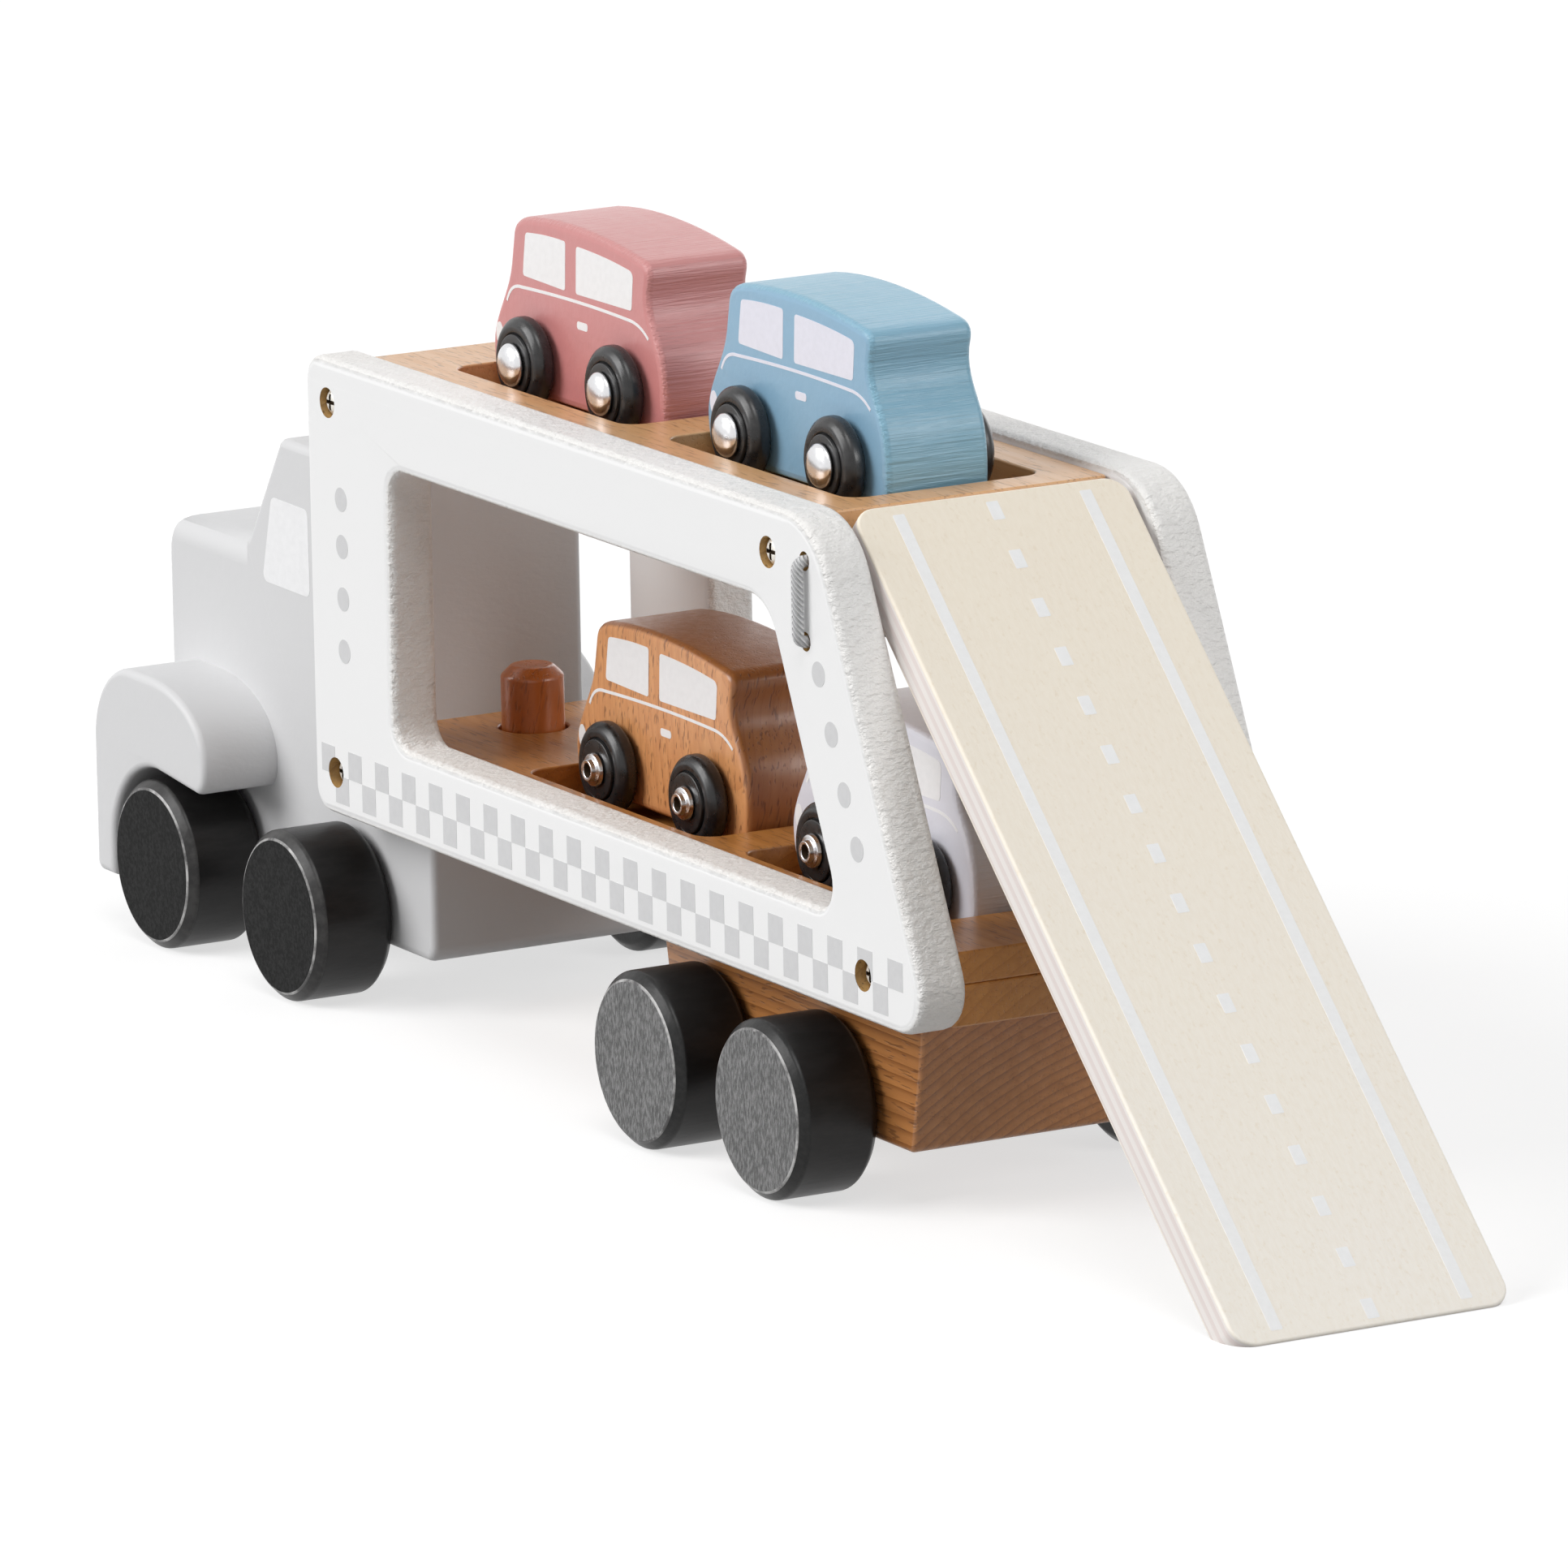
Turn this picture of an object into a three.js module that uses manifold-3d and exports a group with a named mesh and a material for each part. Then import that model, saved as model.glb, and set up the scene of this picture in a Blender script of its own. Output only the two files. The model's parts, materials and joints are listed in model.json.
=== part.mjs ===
// A wooden toy car transporter: a cab tows a two-deck trailer with a loading ramp and four cars.
// Millimetres, +Z up, the cab at -X, the ramp at +X, the left side at -Y.
// Along X, sizes start at the front edge of the side panels; along Z, at the floor.
// The finished toy is then set with its origin on the floor, under the middle of its length.

import * as THREE from 'three';
import { mergeVertices } from 'three/addons/utils/BufferGeometryUtils.js';
import Module from 'manifold-3d';

const wasm = await Module();
wasm.setup();

// Clearances
const GLUE_GAP = 0.3;             // between faces that are glued or rest on each other
const PRESS_GAP = 0.3;            // on the radius, round a rod that is glued or pressed in
const TURN_GAP = 0.4;             // on the radius, round a rod that turns
const WHEEL_GAP = 0.6;            // between a wheel and the block beside it
const ARCH_GAP = 2.1;             // on the radius, between a fender arch and its wheel
const RAMP_SIDE_GAP = 1;          // between the ramp and each side panel
const RAMP_SWING_GAP = 1;         // between the ramp's turning end and the upper deck
const CAR_NOSE_GAP = 1;           // between a car and the front end of its pocket
const CAR_SIDE_GAP = 1;           // between a car and the side of its pocket that it stands at
const POCKET_PLAY = 2;            // spare length of a pocket over its car

// Road wheels and their dowel axles
const WHEEL_DIAMETER = 32.8;
const WHEEL_WIDTH = 16.5;
const WHEEL_CHAMFER = 1.7;
const WHEEL_BORE_DEPTH = 10;
const AXLE_DIAMETER = 6;
const AXLE_END_GAP = 0.5;

// Blocks, decks and panels across the toy
const PANEL_CLEAR_WIDTH = 58;
const PANEL_THICKNESS = 10;
const BLOCK_WIDTH = 56;

// Tractor: chassis, cab, fenders and hitch peg
const CHASSIS_LENGTH = 104.8;
const CHASSIS_HEIGHT = 26.6;
const CHASSIS_BELOW_AXLE = 5.7;
const CHASSIS_BOTTOM_RADIUS = 3;
const CHASSIS_PAST_PEG = 10.4;
const FRONT_AXLE_SETBACK = 22.7;  // from the chassis front
const REAR_AXLE_INSET = 29.8;     // from the chassis rear
const CAB_LENGTH = 63.8;
const CAB_HEIGHT = 64.4;
const BONNET_HEIGHT = 42.4;
const BONNET_LENGTH = 33.1;
const BONNET_NOSE_RADIUS = 7;
const BONNET_SIDE_RADIUS = 5;
const SCREEN_RUN = 14.3;          // how far the windscreen leans back
const CAB_EDGE = 1.6;
const CAB_CORNER = 2.4;
const FENDER_WIDTH = 15.6;
const FENDER_OVERHANG = 2.9;      // ahead of the chassis
const FENDER_RISE = 15.4;         // from the chassis top to the fender's flat top
const FENDER_FRONT_RADIUS = 15.7;
const FENDER_REAR_RADIUS = 12.4;
const FENDER_REACH = 43.3;        // from the chassis front to the rounded rear
const FENDER_TAIL_TURN = 125;     // degrees that the rounded rear turns through
const FENDER_FOOT_RADIUS = 2;
const FENDER_EDGE = 1.4;
const PEG_DIAMETER = 12;
const PEG_PLAY = 0.6;             // on the radius, in the hole of the lower deck
const PEG_CHAMFER = 2;
const PEG_ABOVE_DECK = 12;
const PEG_IN_CHASSIS = 18;
const PEG_SETBACK = 15;           // from the front of the lower deck

// Trailer: side panels
const PANEL_HEIGHT = 87.4;
const PANEL_PAST_HINGE = 2.7;     // top edge of the panels behind the ramp's hinge
const PANEL_SLANT = 24.5;         // degrees that the rear edge leans from upright
const PANEL_FRONT_RADIUS = 5;
const PANEL_REAR_TOP_RADIUS = 16;
const PANEL_REAR_BOTTOM_RADIUS = 8;
const PANEL_EDGE = 1.8;
const FRONT_POST = 32;
const REAR_POST = 25;
const TOP_RAIL = 17.3;
const BOTTOM_RAIL = 17.5;
const WINDOW_FRONT_RADIUS = 5.5;
const WINDOW_REAR_TOP_RADIUS = 10;
const WINDOW_REAR_BOTTOM_RADIUS = 5;

// Trailer: decks, pockets and bogie
const LOWER_DECK_THICKNESS = 13.6;
const UPPER_DECK_THICKNESS = 13;
const UPPER_DECK_SETBACK = 5;     // from the front of the panels
const UPPER_DECK_DROP = 1.5;      // below the top of the panels
const DECK_CORNER = 1.2;
const POCKET_DEPTH = 6;
const POCKET_WIDTH = 40;
const POCKET_CORNER = 4;
const POCKET_SPACING = 13.3;      // wood left between the two pockets of a deck
const UPPER_POCKET_START = 22.6;
const LOWER_POCKET_START = 48.2;
const UPPER_DECK_TAIL = 8;        // wood behind the rear pocket
const LOWER_DECK_TAIL = 22.9;
const BOGIE_TOP_LENGTH = 95.7;
const BOGIE_INSET = 10.5;         // from the rear of the lower deck
const BOGIE_UNDERCUT = 4.9;
const BOGIE_BELOW_AXLE = 4.9;
const BOGIE_EDGE = 1;
const BOGIE_CORNER = 1.6;
const BOGIE_FRONT_AXLE = 19.7;    // from the front of the bogie block
const BOGIE_AXLE_SPACING = 44.6;

// Panel screws
const SCREW_HEAD_DIAMETER = 5.2;
const SCREW_HEAD_HEIGHT = 2;
const SCREW_SHANK_DIAMETER = 3;
const SCREW_IN_DECK = 10;
const SCREW_TIP = 3;
const SCREW_SUNK = 1.4;           // head below the face of the panel
const FRONT_SCREW_INSET = 9;
const UPPER_REAR_SCREW_INSET = 4.3;   // from the end of the upper deck
const LOWER_REAR_SCREW_INSET = 13.3;  // from the end of the lower deck
const UPPER_SCREW_DROP = 6.8;     // below the top of the upper deck
const LOWER_SCREW_DROP = 5.2;     // below the top of the lower deck

// Ramp and its elastic hinge
const RAMP_LENGTH = 178.6;
const RAMP_THICKNESS = 7;
const RAMP_CORNER = 4.5;
const RAMP_HINGE_INSET = 7;       // from the top end of the ramp to the hinge
const RAMP_LIP = 0.5;             // blunt tip on the floor
const HINGE_DROP = 7.7;           // below the top of the panels
const ELASTIC_DIAMETER = 2.5;
const ELASTIC_HOLE_GAP = 0.5;     // on the radius
const ELASTIC_HOLE_SPACING = 14.5;
const ELASTIC_BEND = 1.5;         // radius of the cord's middle line where it leaves a hole
const KNOT_DIAMETER = 6;

// Cars
const CAR_WIDTH = 21.5;
const CAR_LENGTH = 65.8;
const CAR_EDGE = 1.5;
const CAR_SILL = 5.5;             // underside of the body above the floor of the pocket
const CAR_WHEEL_DIAMETER = 17.5;
const CAR_WHEEL_WIDTH = 4.6;
const CAR_WHEEL_CHAMFER = 1;
const CAR_WHEEL_GAP = 0.5;
const CAR_FRONT_AXLE = 17.5;      // from the nose
const CAR_WHEELBASE = 34;
const CAR_AXLE_DIAMETER = 3;
const CAP_DIAMETER = 8.2;
const CAP_HEIGHT = 2;
const CAP_RIM_HEIGHT = 1.4;
const CAP_CROWN_DIAMETER = 6.2;
const RIVET_DIAMETER = 5.7;
const RIVET_HEIGHT = 1.9;
const RIVET_RECESS = 1.3;

// Side of a car as a run of curves. A point is [distance in from the car's end, height above the
// pocket floor]. Three points are two handles and an end, two are a handle and an end.
const CAR_SILL_ENDS = [1.2, 2.8]; // where the flat sill stops short of the nose and of the tail
const CAR_TAIL = [
  [[0.9, CAR_SILL], [0.6, 7]],            // corner under the tail
  [[-0.4, 10], [0.6, 15], [2, 18.6]],     // flared tail
  [[4.3, 23], [6.5, 26.5], [5.6, 30.2]],  // hollow below the roof
  [[5.4, 33.4], [8.5, 34]],               // rear corner of the roof
];
const CAR_NOSE = [
  [[42, 36.6], [26, 37.2], [13.5, 35.4]], // crown of the roof
  [[9.1, 34.6], [8.6, 31.8]],             // brow over the windscreen
  [[7.4, 26]],                            // windscreen
  [[6, 20], [0.3, 15.5], [0, 11]],        // bonnet
  [[0, 7], [CAR_SILL_ENDS[0], CAR_SILL]], // corner under the nose
];

// How finely round stretches are cut into flats
const ARC_STEPS = 2;
const FENDER_STEPS = 3;
const CAR_STEPS = 4;
const EDGE_STEPS = 2;
const HOLE_SIDES = 10;
const WHEEL_SIDES = 24;
const CAR_WHEEL_SIDES = 14;
const CAR_AXLE_SIDES = 10;
const SCREW_SIDES = 8;
const CORD_SIDES = 8;
const CORD_STEP = 7.5;
const CUT_PAST = 2;               // how far a cutting shape runs past the faces that it cuts

// Heights, from the floor up
const axleHeight = WHEEL_DIAMETER / 2;
const chassisBottom = axleHeight - CHASSIS_BELOW_AXLE;
const chassisTop = chassisBottom + CHASSIS_HEIGHT;
const lowerDeckBottom = chassisTop + GLUE_GAP;
const lowerDeckTop = lowerDeckBottom + LOWER_DECK_THICKNESS;
const panelBottom = lowerDeckBottom;
const panelTop = panelBottom + PANEL_HEIGHT;
const upperDeckTop = panelTop - UPPER_DECK_DROP;
const upperDeckBottom = upperDeckTop - UPPER_DECK_THICKNESS;
const hingeHeight = panelTop - HINGE_DROP;
const pegTop = lowerDeckTop + PEG_ABOVE_DECK;

// Widths, from the middle plane out
const blockSide = BLOCK_WIDTH / 2;
const panelInner = PANEL_CLEAR_WIDTH / 2;
const panelOuter = panelInner + PANEL_THICKNESS;
const deckSide = panelInner - GLUE_GAP;
const wheelInner = blockSide + WHEEL_GAP;

// Lengths, from the front edge of the panels
const chassisRear = PEG_SETBACK + CHASSIS_PAST_PEG;
const chassisFront = chassisRear - CHASSIS_LENGTH;
const tractorAxles = [chassisFront + FRONT_AXLE_SETBACK, chassisRear - REAR_AXLE_INSET];
const pocketLength = CAR_LENGTH + POCKET_PLAY;
const pocketRun = 2 * pocketLength + POCKET_SPACING;
const upperDeckEnd = UPPER_POCKET_START + pocketRun + UPPER_DECK_TAIL;
const lowerDeckEnd = LOWER_POCKET_START + pocketRun + LOWER_DECK_TAIL;
const bogieStart = lowerDeckEnd - BOGIE_INSET - BOGIE_TOP_LENGTH;
const bogieAxles = [bogieStart + BOGIE_FRONT_AXLE, bogieStart + BOGIE_FRONT_AXLE + BOGIE_AXLE_SPACING];
const rampSwing = Math.hypot(RAMP_HINGE_INSET, RAMP_THICKNESS / 2);
const hingeX = upperDeckEnd + RAMP_SWING_GAP + rampSwing;
const panelTopLength = hingeX + PANEL_PAST_HINGE;

// Ramp angle: the tip of the upper face comes down to the lip's height above the floor.
const rampReach = RAMP_LENGTH - RAMP_HINGE_INSET;
const rampRadius = Math.hypot(rampReach, RAMP_THICKNESS / 2);
const rampPhase = Math.atan2(RAMP_THICKNESS / 2, rampReach);
const rampAngle = rampPhase + Math.asin((hingeHeight - RAMP_LIP) / rampRadius);
const rampTip = hingeX + rampRadius * Math.cos(rampAngle - rampPhase);

const fenderFront = chassisFront - FENDER_OVERHANG;
const middleOfLength = (fenderFront + rampTip) / 2;

const LEFT = -1;
const RIGHT = 1;
const SIDES = [[LEFT, 'left'], [RIGHT, 'right']];

// Shapes and solids

// A span across the toy, from near to far of the middle plane, on the left or the right side.
function between(sign, near, far) {
  return sign === LEFT ? [-far, -near] : [near, far];
}

// A closed outline with rounded corners, each given as [x, z, radius].
function roundedOutline(corners, Kind = THREE.Shape) {
  const outline = new Kind();
  corners.forEach(([x, z, radius], i) => {
    const before = corners.at(i - 1);
    const after = corners[(i + 1) % corners.length];
    const back = new THREE.Vector2(before[0] - x, before[1] - z).normalize();
    const ahead = new THREE.Vector2(after[0] - x, after[1] - z).normalize();
    const half = Math.acos(back.dot(ahead)) / 2;
    const reach = radius / Math.tan(half);
    const inward = back.clone().add(ahead).setLength(radius / Math.sin(half));
    const start = back.clone().multiplyScalar(reach).sub(inward).angle();
    const end = ahead.clone().multiplyScalar(reach).sub(inward).angle();
    outline.absarc(x + inward.x, z + inward.y, radius, start, end, back.cross(ahead) > 0);
  });
  outline.closePath();
  return outline;
}

// An outline drawn in X and Z, carried along Y between two planes, with rounded edges.
function slab(outline, [yLow, yHigh], edge, arcSteps = ARC_STEPS) {
  const geometry = new THREE.ExtrudeGeometry(outline, {
    depth: yHigh - yLow - 2 * edge,
    curveSegments: arcSteps,
    bevelThickness: edge,
    bevelSize: edge,
    bevelOffset: -edge,
    bevelSegments: EDGE_STEPS,
  });
  geometry.rotateX(Math.PI / 2);
  return geometry.translate(0, yHigh - edge, 0);
}

// An outline drawn in X and Y, carried up Z between two planes.
function plate(outline, zLow, zHigh) {
  const geometry = new THREE.ExtrudeGeometry(outline, {
    depth: zHigh - zLow,
    curveSegments: ARC_STEPS,
    bevelEnabled: false,
  });
  return geometry.translate(0, 0, zLow);
}

function rectangle(xLow, xHigh, yLow, yHigh, radius) {
  return roundedOutline([
    [xLow, yLow, radius], [xHigh, yLow, radius], [xHigh, yHigh, radius], [xLow, yHigh, radius],
  ]);
}

// A round rod along Y between two planes.
function rodAlongY(radius, x, z, yLow, yHigh, sides = HOLE_SIDES) {
  const geometry = new THREE.CylinderGeometry(radius, radius, yHigh - yLow, sides);
  return geometry.translate(x, (yLow + yHigh) / 2, z);
}

function rodAlongZ(radius, x, zLow, zHigh, sides) {
  const geometry = new THREE.CylinderGeometry(radius, radius, zHigh - zLow, sides);
  geometry.rotateX(Math.PI / 2);
  return geometry.translate(x, 0, (zLow + zHigh) / 2);
}

// A profile of [radius, height] pairs turned round the Y axis.
function turned(profile, sides) {
  return new THREE.LatheGeometry(profile.map(([r, y]) => new THREE.Vector2(r, y)), sides);
}

function solid(geometry) {
  geometry.deleteAttribute('normal');
  geometry.deleteAttribute('uv');
  const merged = mergeVertices(geometry, 1e-4);
  const corners = merged.index.array;
  const triangles = [];
  for (let i = 0; i < corners.length; i += 3) {
    const [a, b, c] = corners.slice(i, i + 3);
    if (a !== b && b !== c && c !== a) triangles.push(a, b, c);
  }
  return new wasm.Manifold(new wasm.Mesh({
    numProp: 3,
    vertProperties: new Float32Array(merged.attributes.position.array),
    triVerts: new Uint32Array(triangles),
  }));
}

function geometryOf(body) {
  const mesh = body.getMesh();
  const geometry = new THREE.BufferGeometry();
  geometry.setAttribute('position', new THREE.BufferAttribute(mesh.vertProperties, 3));
  geometry.setIndex(new THREE.BufferAttribute(mesh.triVerts, 1));
  const faceted = geometry.toNonIndexed();
  faceted.computeVertexNormals();
  return faceted;
}

// Takes each of the cutting shapes away from a shape.
function cut(geometry, cutters) {
  return geometryOf(cutters.reduce((body, cutter) => body.subtract(solid(cutter)), solid(geometry)));
}

// Finishes

const FINISHES = {
  whitePaint: { color: 0xf0f0ee, roughness: 0.5, metalness: 0 },
  greyPaint: { color: 0xd6d7d8, roughness: 0.5, metalness: 0 },
  paleBeech: { color: 0xd9a368, roughness: 0.45, metalness: 0 },
  darkBeech: { color: 0xb98446, roughness: 0.5, metalness: 0 },
  rampPly: { color: 0xe7d6b8, roughness: 0.5, metalness: 0 },
  blackPaint: { color: 0x262626, roughness: 0.4, metalness: 0 },
  rubber: { color: 0x1c1c1d, roughness: 0.55, metalness: 0 },
  chrome: { color: 0xd8d8da, roughness: 0.15, metalness: 1 },
  zinc: { color: 0xb9b4a8, roughness: 0.35, metalness: 1 },
  elastic: { color: 0xdadada, roughness: 0.9, metalness: 0 },
  pinkPaint: { color: 0xc87d80, roughness: 0.45, metalness: 0 },
  bluePaint: { color: 0x73a5c3, roughness: 0.45, metalness: 0 },
  paleLavender: { color: 0xe4e1ea, roughness: 0.45, metalness: 0 },
};

function addPiece(group, name, geometry, finish) {
  const piece = new THREE.Mesh(geometry, new THREE.MeshStandardMaterial(FINISHES[finish]));
  piece.name = name;
  group.add(piece);
  return piece;
}

// Wheels, glued on the ends of a dowel

function roadWheel() {
  const radius = WHEEL_DIAMETER / 2;
  const bore = AXLE_DIAMETER / 2 + PRESS_GAP;
  return geometryOf(solid(turned([
    [0, WHEEL_BORE_DEPTH],
    [bore, WHEEL_BORE_DEPTH],
    [bore, 0],
    [radius - WHEEL_CHAMFER, 0],
    [radius, WHEEL_CHAMFER],
    [radius, WHEEL_WIDTH - WHEEL_CHAMFER],
    [radius - WHEEL_CHAMFER, WHEEL_WIDTH],
    [0, WHEEL_WIDTH],
  ], WHEEL_SIDES)));
}

function addWheelset(group, name, x) {
  const axleEnd = wheelInner + WHEEL_BORE_DEPTH - AXLE_END_GAP;
  const axle = rodAlongY(AXLE_DIAMETER / 2, x, axleHeight, -axleEnd, axleEnd);
  addPiece(group, `${name}_axle`, axle, 'paleBeech');
  for (const [side, word] of SIDES) {
    const wheel = addPiece(group, `${name}_${word}_wheel`, roadWheel(), 'blackPaint');
    wheel.position.set(x, side * wheelInner, axleHeight);
    wheel.rotation.z = side === LEFT ? Math.PI : 0;
  }
}

function axleBore(x) {
  return rodAlongY(AXLE_DIAMETER / 2 + TURN_GAP, x, axleHeight, -blockSide - CUT_PAST, blockSide + CUT_PAST);
}

// Tractor

function chassis() {
  const bottom = CHASSIS_BOTTOM_RADIUS;
  const side = roundedOutline([
    [chassisFront, chassisBottom, bottom], [chassisRear, chassisBottom, bottom],
    [chassisRear, chassisTop, CAB_CORNER], [chassisFront, chassisTop, CAB_CORNER],
  ]);
  const pegRadius = PEG_DIAMETER / 2 + PRESS_GAP;
  const pegFoot = chassisTop - PEG_IN_CHASSIS - GLUE_GAP;
  return cut(slab(side, [-blockSide, blockSide], CAB_EDGE), [
    ...tractorAxles.map(axleBore),
    rodAlongZ(pegRadius, PEG_SETBACK, pegFoot, chassisTop + CUT_PAST, WHEEL_SIDES),
  ]);
}

// The cab is one block: a low bonnet, a leaning windscreen and a flat roof.
function cab() {
  const bottom = chassisTop + GLUE_GAP;
  const bonnetTop = bottom + BONNET_HEIGHT;
  const roof = bottom + CAB_HEIGHT;
  const rear = chassisFront + CAB_LENGTH;
  const screenFoot = chassisFront + BONNET_LENGTH;
  const side = roundedOutline([
    [chassisFront, bottom, CAB_CORNER], [rear, bottom, CAB_CORNER],
    [rear, roof, CAB_CORNER], [screenFoot + SCREEN_RUN, roof, CAB_CORNER],
    [screenFoot, bonnetTop, CAB_CORNER], [chassisFront, bonnetTop, BONNET_NOSE_RADIUS],
  ]);
  const roundings = SIDES.map(([sign]) => bonnetRounding(sign, bonnetTop, screenFoot));
  return cut(slab(side, [-blockSide, blockSide], CAB_EDGE), roundings);
}

// What is planed off one long upper edge of the bonnet, as far back as the windscreen.
function bonnetRounding(sign, bonnetTop, screenFoot) {
  const middle = blockSide - BONNET_SIDE_RADIUS;
  const waste = new THREE.Shape();
  waste.moveTo(middle, bonnetTop);
  waste.absarc(middle, bonnetTop - BONNET_SIDE_RADIUS, BONNET_SIDE_RADIUS, Math.PI / 2, 0, true);
  waste.lineTo(blockSide + CUT_PAST, bonnetTop - BONNET_SIDE_RADIUS);
  waste.lineTo(blockSide + CUT_PAST, bonnetTop + CUT_PAST);
  waste.lineTo(middle, bonnetTop + CUT_PAST);
  waste.closePath();
  const length = BONNET_LENGTH + CUT_PAST;
  const geometry = new THREE.ExtrudeGeometry(waste, {
    depth: length,
    curveSegments: ARC_STEPS,
    bevelEnabled: false,
  });
  // Its outline goes from X and Y to Y and Z, and its length from Z to X.
  const turn = new THREE.Matrix4().makeBasis(
    new THREE.Vector3(0, 1, 0), new THREE.Vector3(0, 0, 1), new THREE.Vector3(1, 0, 0));
  geometry.applyMatrix4(turn);
  geometry.translate(screenFoot - length, 0, 0);
  if (sign === LEFT) {
    geometry.rotateZ(Math.PI);
    geometry.translate(2 * screenFoot - length, 0, 0);
  }
  return geometry;
}

// A fender hooks over the front wheel: a foot in front, an arch, and a rounded tail.
function fender(sign) {
  const [wheelX] = tractorAxles;
  const top = chassisTop + FENDER_RISE;
  const arch = WHEEL_DIAMETER / 2 + ARCH_GAP;
  const tailX = chassisFront + FENDER_REACH - FENDER_REAR_RADIUS;
  const tailZ = top - FENDER_REAR_RADIUS;
  const frontX = fenderFront + FENDER_FRONT_RADIUS;
  const foot = FENDER_FOOT_RADIUS;
  const tailTurn = THREE.MathUtils.degToRad(90 - FENDER_TAIL_TURN);
  const outline = new THREE.Shape();
  outline.absarc(fenderFront + foot, chassisBottom + foot, foot, Math.PI * 1.5, Math.PI, true);
  outline.absarc(frontX, top - FENDER_FRONT_RADIUS, FENDER_FRONT_RADIUS, Math.PI, Math.PI / 2, true);
  outline.absarc(tailX, tailZ, FENDER_REAR_RADIUS, Math.PI / 2, tailTurn, true);
  outline.absarc(wheelX, axleHeight, arch, Math.PI / 2, Math.PI, false);
  outline.lineTo(wheelX - arch, chassisBottom);
  outline.closePath();
  const near = blockSide + GLUE_GAP;
  return slab(outline, between(sign, near, near + FENDER_WIDTH), FENDER_EDGE, FENDER_STEPS);
}

function hitchPeg() {
  const radius = PEG_DIAMETER / 2;
  const foot = chassisTop - PEG_IN_CHASSIS;
  const geometry = geometryOf(solid(turned([
    [0, foot], [radius, foot], [radius, pegTop - PEG_CHAMFER], [radius - PEG_CHAMFER, pegTop], [0, pegTop],
  ], WHEEL_SIDES)));
  geometry.rotateX(Math.PI / 2);
  return geometry.translate(PEG_SETBACK, 0, 0);
}

function addTractor(group) {
  addPiece(group, 'tractor_chassis', chassis(), 'greyPaint');
  addPiece(group, 'cab', cab(), 'greyPaint');
  for (const [side, word] of SIDES) addPiece(group, `${word}_fender`, fender(side), 'greyPaint');
  addPiece(group, 'hitch_peg', hitchPeg(), 'paleBeech');
  addWheelset(group, 'tractor_front', tractorAxles[0]);
  addWheelset(group, 'tractor_rear', tractorAxles[1]);
}

// Trailer

// Where the eight screws go in, seen from the side: four through each panel.
const SCREWS = [
  ['upper_front', FRONT_SCREW_INSET, upperDeckTop - UPPER_SCREW_DROP],
  ['upper_rear', upperDeckEnd - UPPER_REAR_SCREW_INSET, upperDeckTop - UPPER_SCREW_DROP],
  ['lower_front', FRONT_SCREW_INSET, lowerDeckTop - LOWER_SCREW_DROP],
  ['lower_rear', lowerDeckEnd - LOWER_REAR_SCREW_INSET, lowerDeckTop - LOWER_SCREW_DROP],
];

function panelCuts(sign) {
  const seat = panelOuter - SCREW_SUNK - SCREW_HEAD_HEIGHT - GLUE_GAP;
  const cutters = [];
  for (const [, x, z] of SCREWS) {
    const head = SCREW_HEAD_DIAMETER / 2 + PRESS_GAP;
    const shank = SCREW_SHANK_DIAMETER / 2 + PRESS_GAP;
    cutters.push(rodAlongY(head, x, z, ...between(sign, seat, panelOuter + CUT_PAST)));
    cutters.push(rodAlongY(shank, x, z, ...between(sign, panelInner - CUT_PAST, panelOuter)));
  }
  const cordHole = ELASTIC_DIAMETER / 2 + ELASTIC_HOLE_GAP;
  for (const z of [hingeHeight, hingeHeight - ELASTIC_HOLE_SPACING]) {
    const through = between(sign, panelInner - CUT_PAST, panelOuter + CUT_PAST);
    cutters.push(rodAlongY(cordHole, hingeX, z, ...through));
  }
  return cutters;
}

function sidePanel(sign) {
  const lean = Math.tan(THREE.MathUtils.degToRad(PANEL_SLANT));
  const rearAt = (z) => panelTopLength + (panelTop - z) * lean;
  const sill = panelBottom + BOTTOM_RAIL;
  const head = panelTop - TOP_RAIL;
  const outline = roundedOutline([
    [0, panelBottom, PANEL_FRONT_RADIUS],
    [rearAt(panelBottom), panelBottom, PANEL_REAR_BOTTOM_RADIUS],
    [rearAt(panelTop), panelTop, PANEL_REAR_TOP_RADIUS],
    [0, panelTop, PANEL_FRONT_RADIUS],
  ]);
  outline.holes.push(roundedOutline([
    [FRONT_POST, sill, WINDOW_FRONT_RADIUS],
    [FRONT_POST, head, WINDOW_FRONT_RADIUS],
    [rearAt(head) - REAR_POST, head, WINDOW_REAR_TOP_RADIUS],
    [rearAt(sill) - REAR_POST, sill, WINDOW_REAR_BOTTOM_RADIUS],
  ], THREE.Path));
  return cut(slab(outline, between(sign, panelInner, panelOuter), PANEL_EDGE), panelCuts(sign));
}

// The two car pockets of a deck, sunk into its top.
function pocketCuts(deckTop, pocketStart) {
  const half = POCKET_WIDTH / 2;
  return [pocketStart, pocketStart + pocketLength + POCKET_SPACING].map((start) => {
    const pocket = rectangle(start, start + pocketLength, -half, half, POCKET_CORNER);
    return plate(pocket, deckTop - POCKET_DEPTH, deckTop + CUT_PAST);
  });
}

// The pilot holes of a deck's four screws.
function pilotCuts(word) {
  const pilot = SCREW_SHANK_DIAMETER / 2 + PRESS_GAP;
  const pilotEnd = panelInner - SCREW_IN_DECK - GLUE_GAP;
  const screws = SCREWS.filter(([place]) => place.startsWith(word));
  return screws.flatMap(([, x, z]) => SIDES.map(([side]) => (
    rodAlongY(pilot, x, z, ...between(side, pilotEnd, panelInner + CUT_PAST)))));
}

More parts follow.
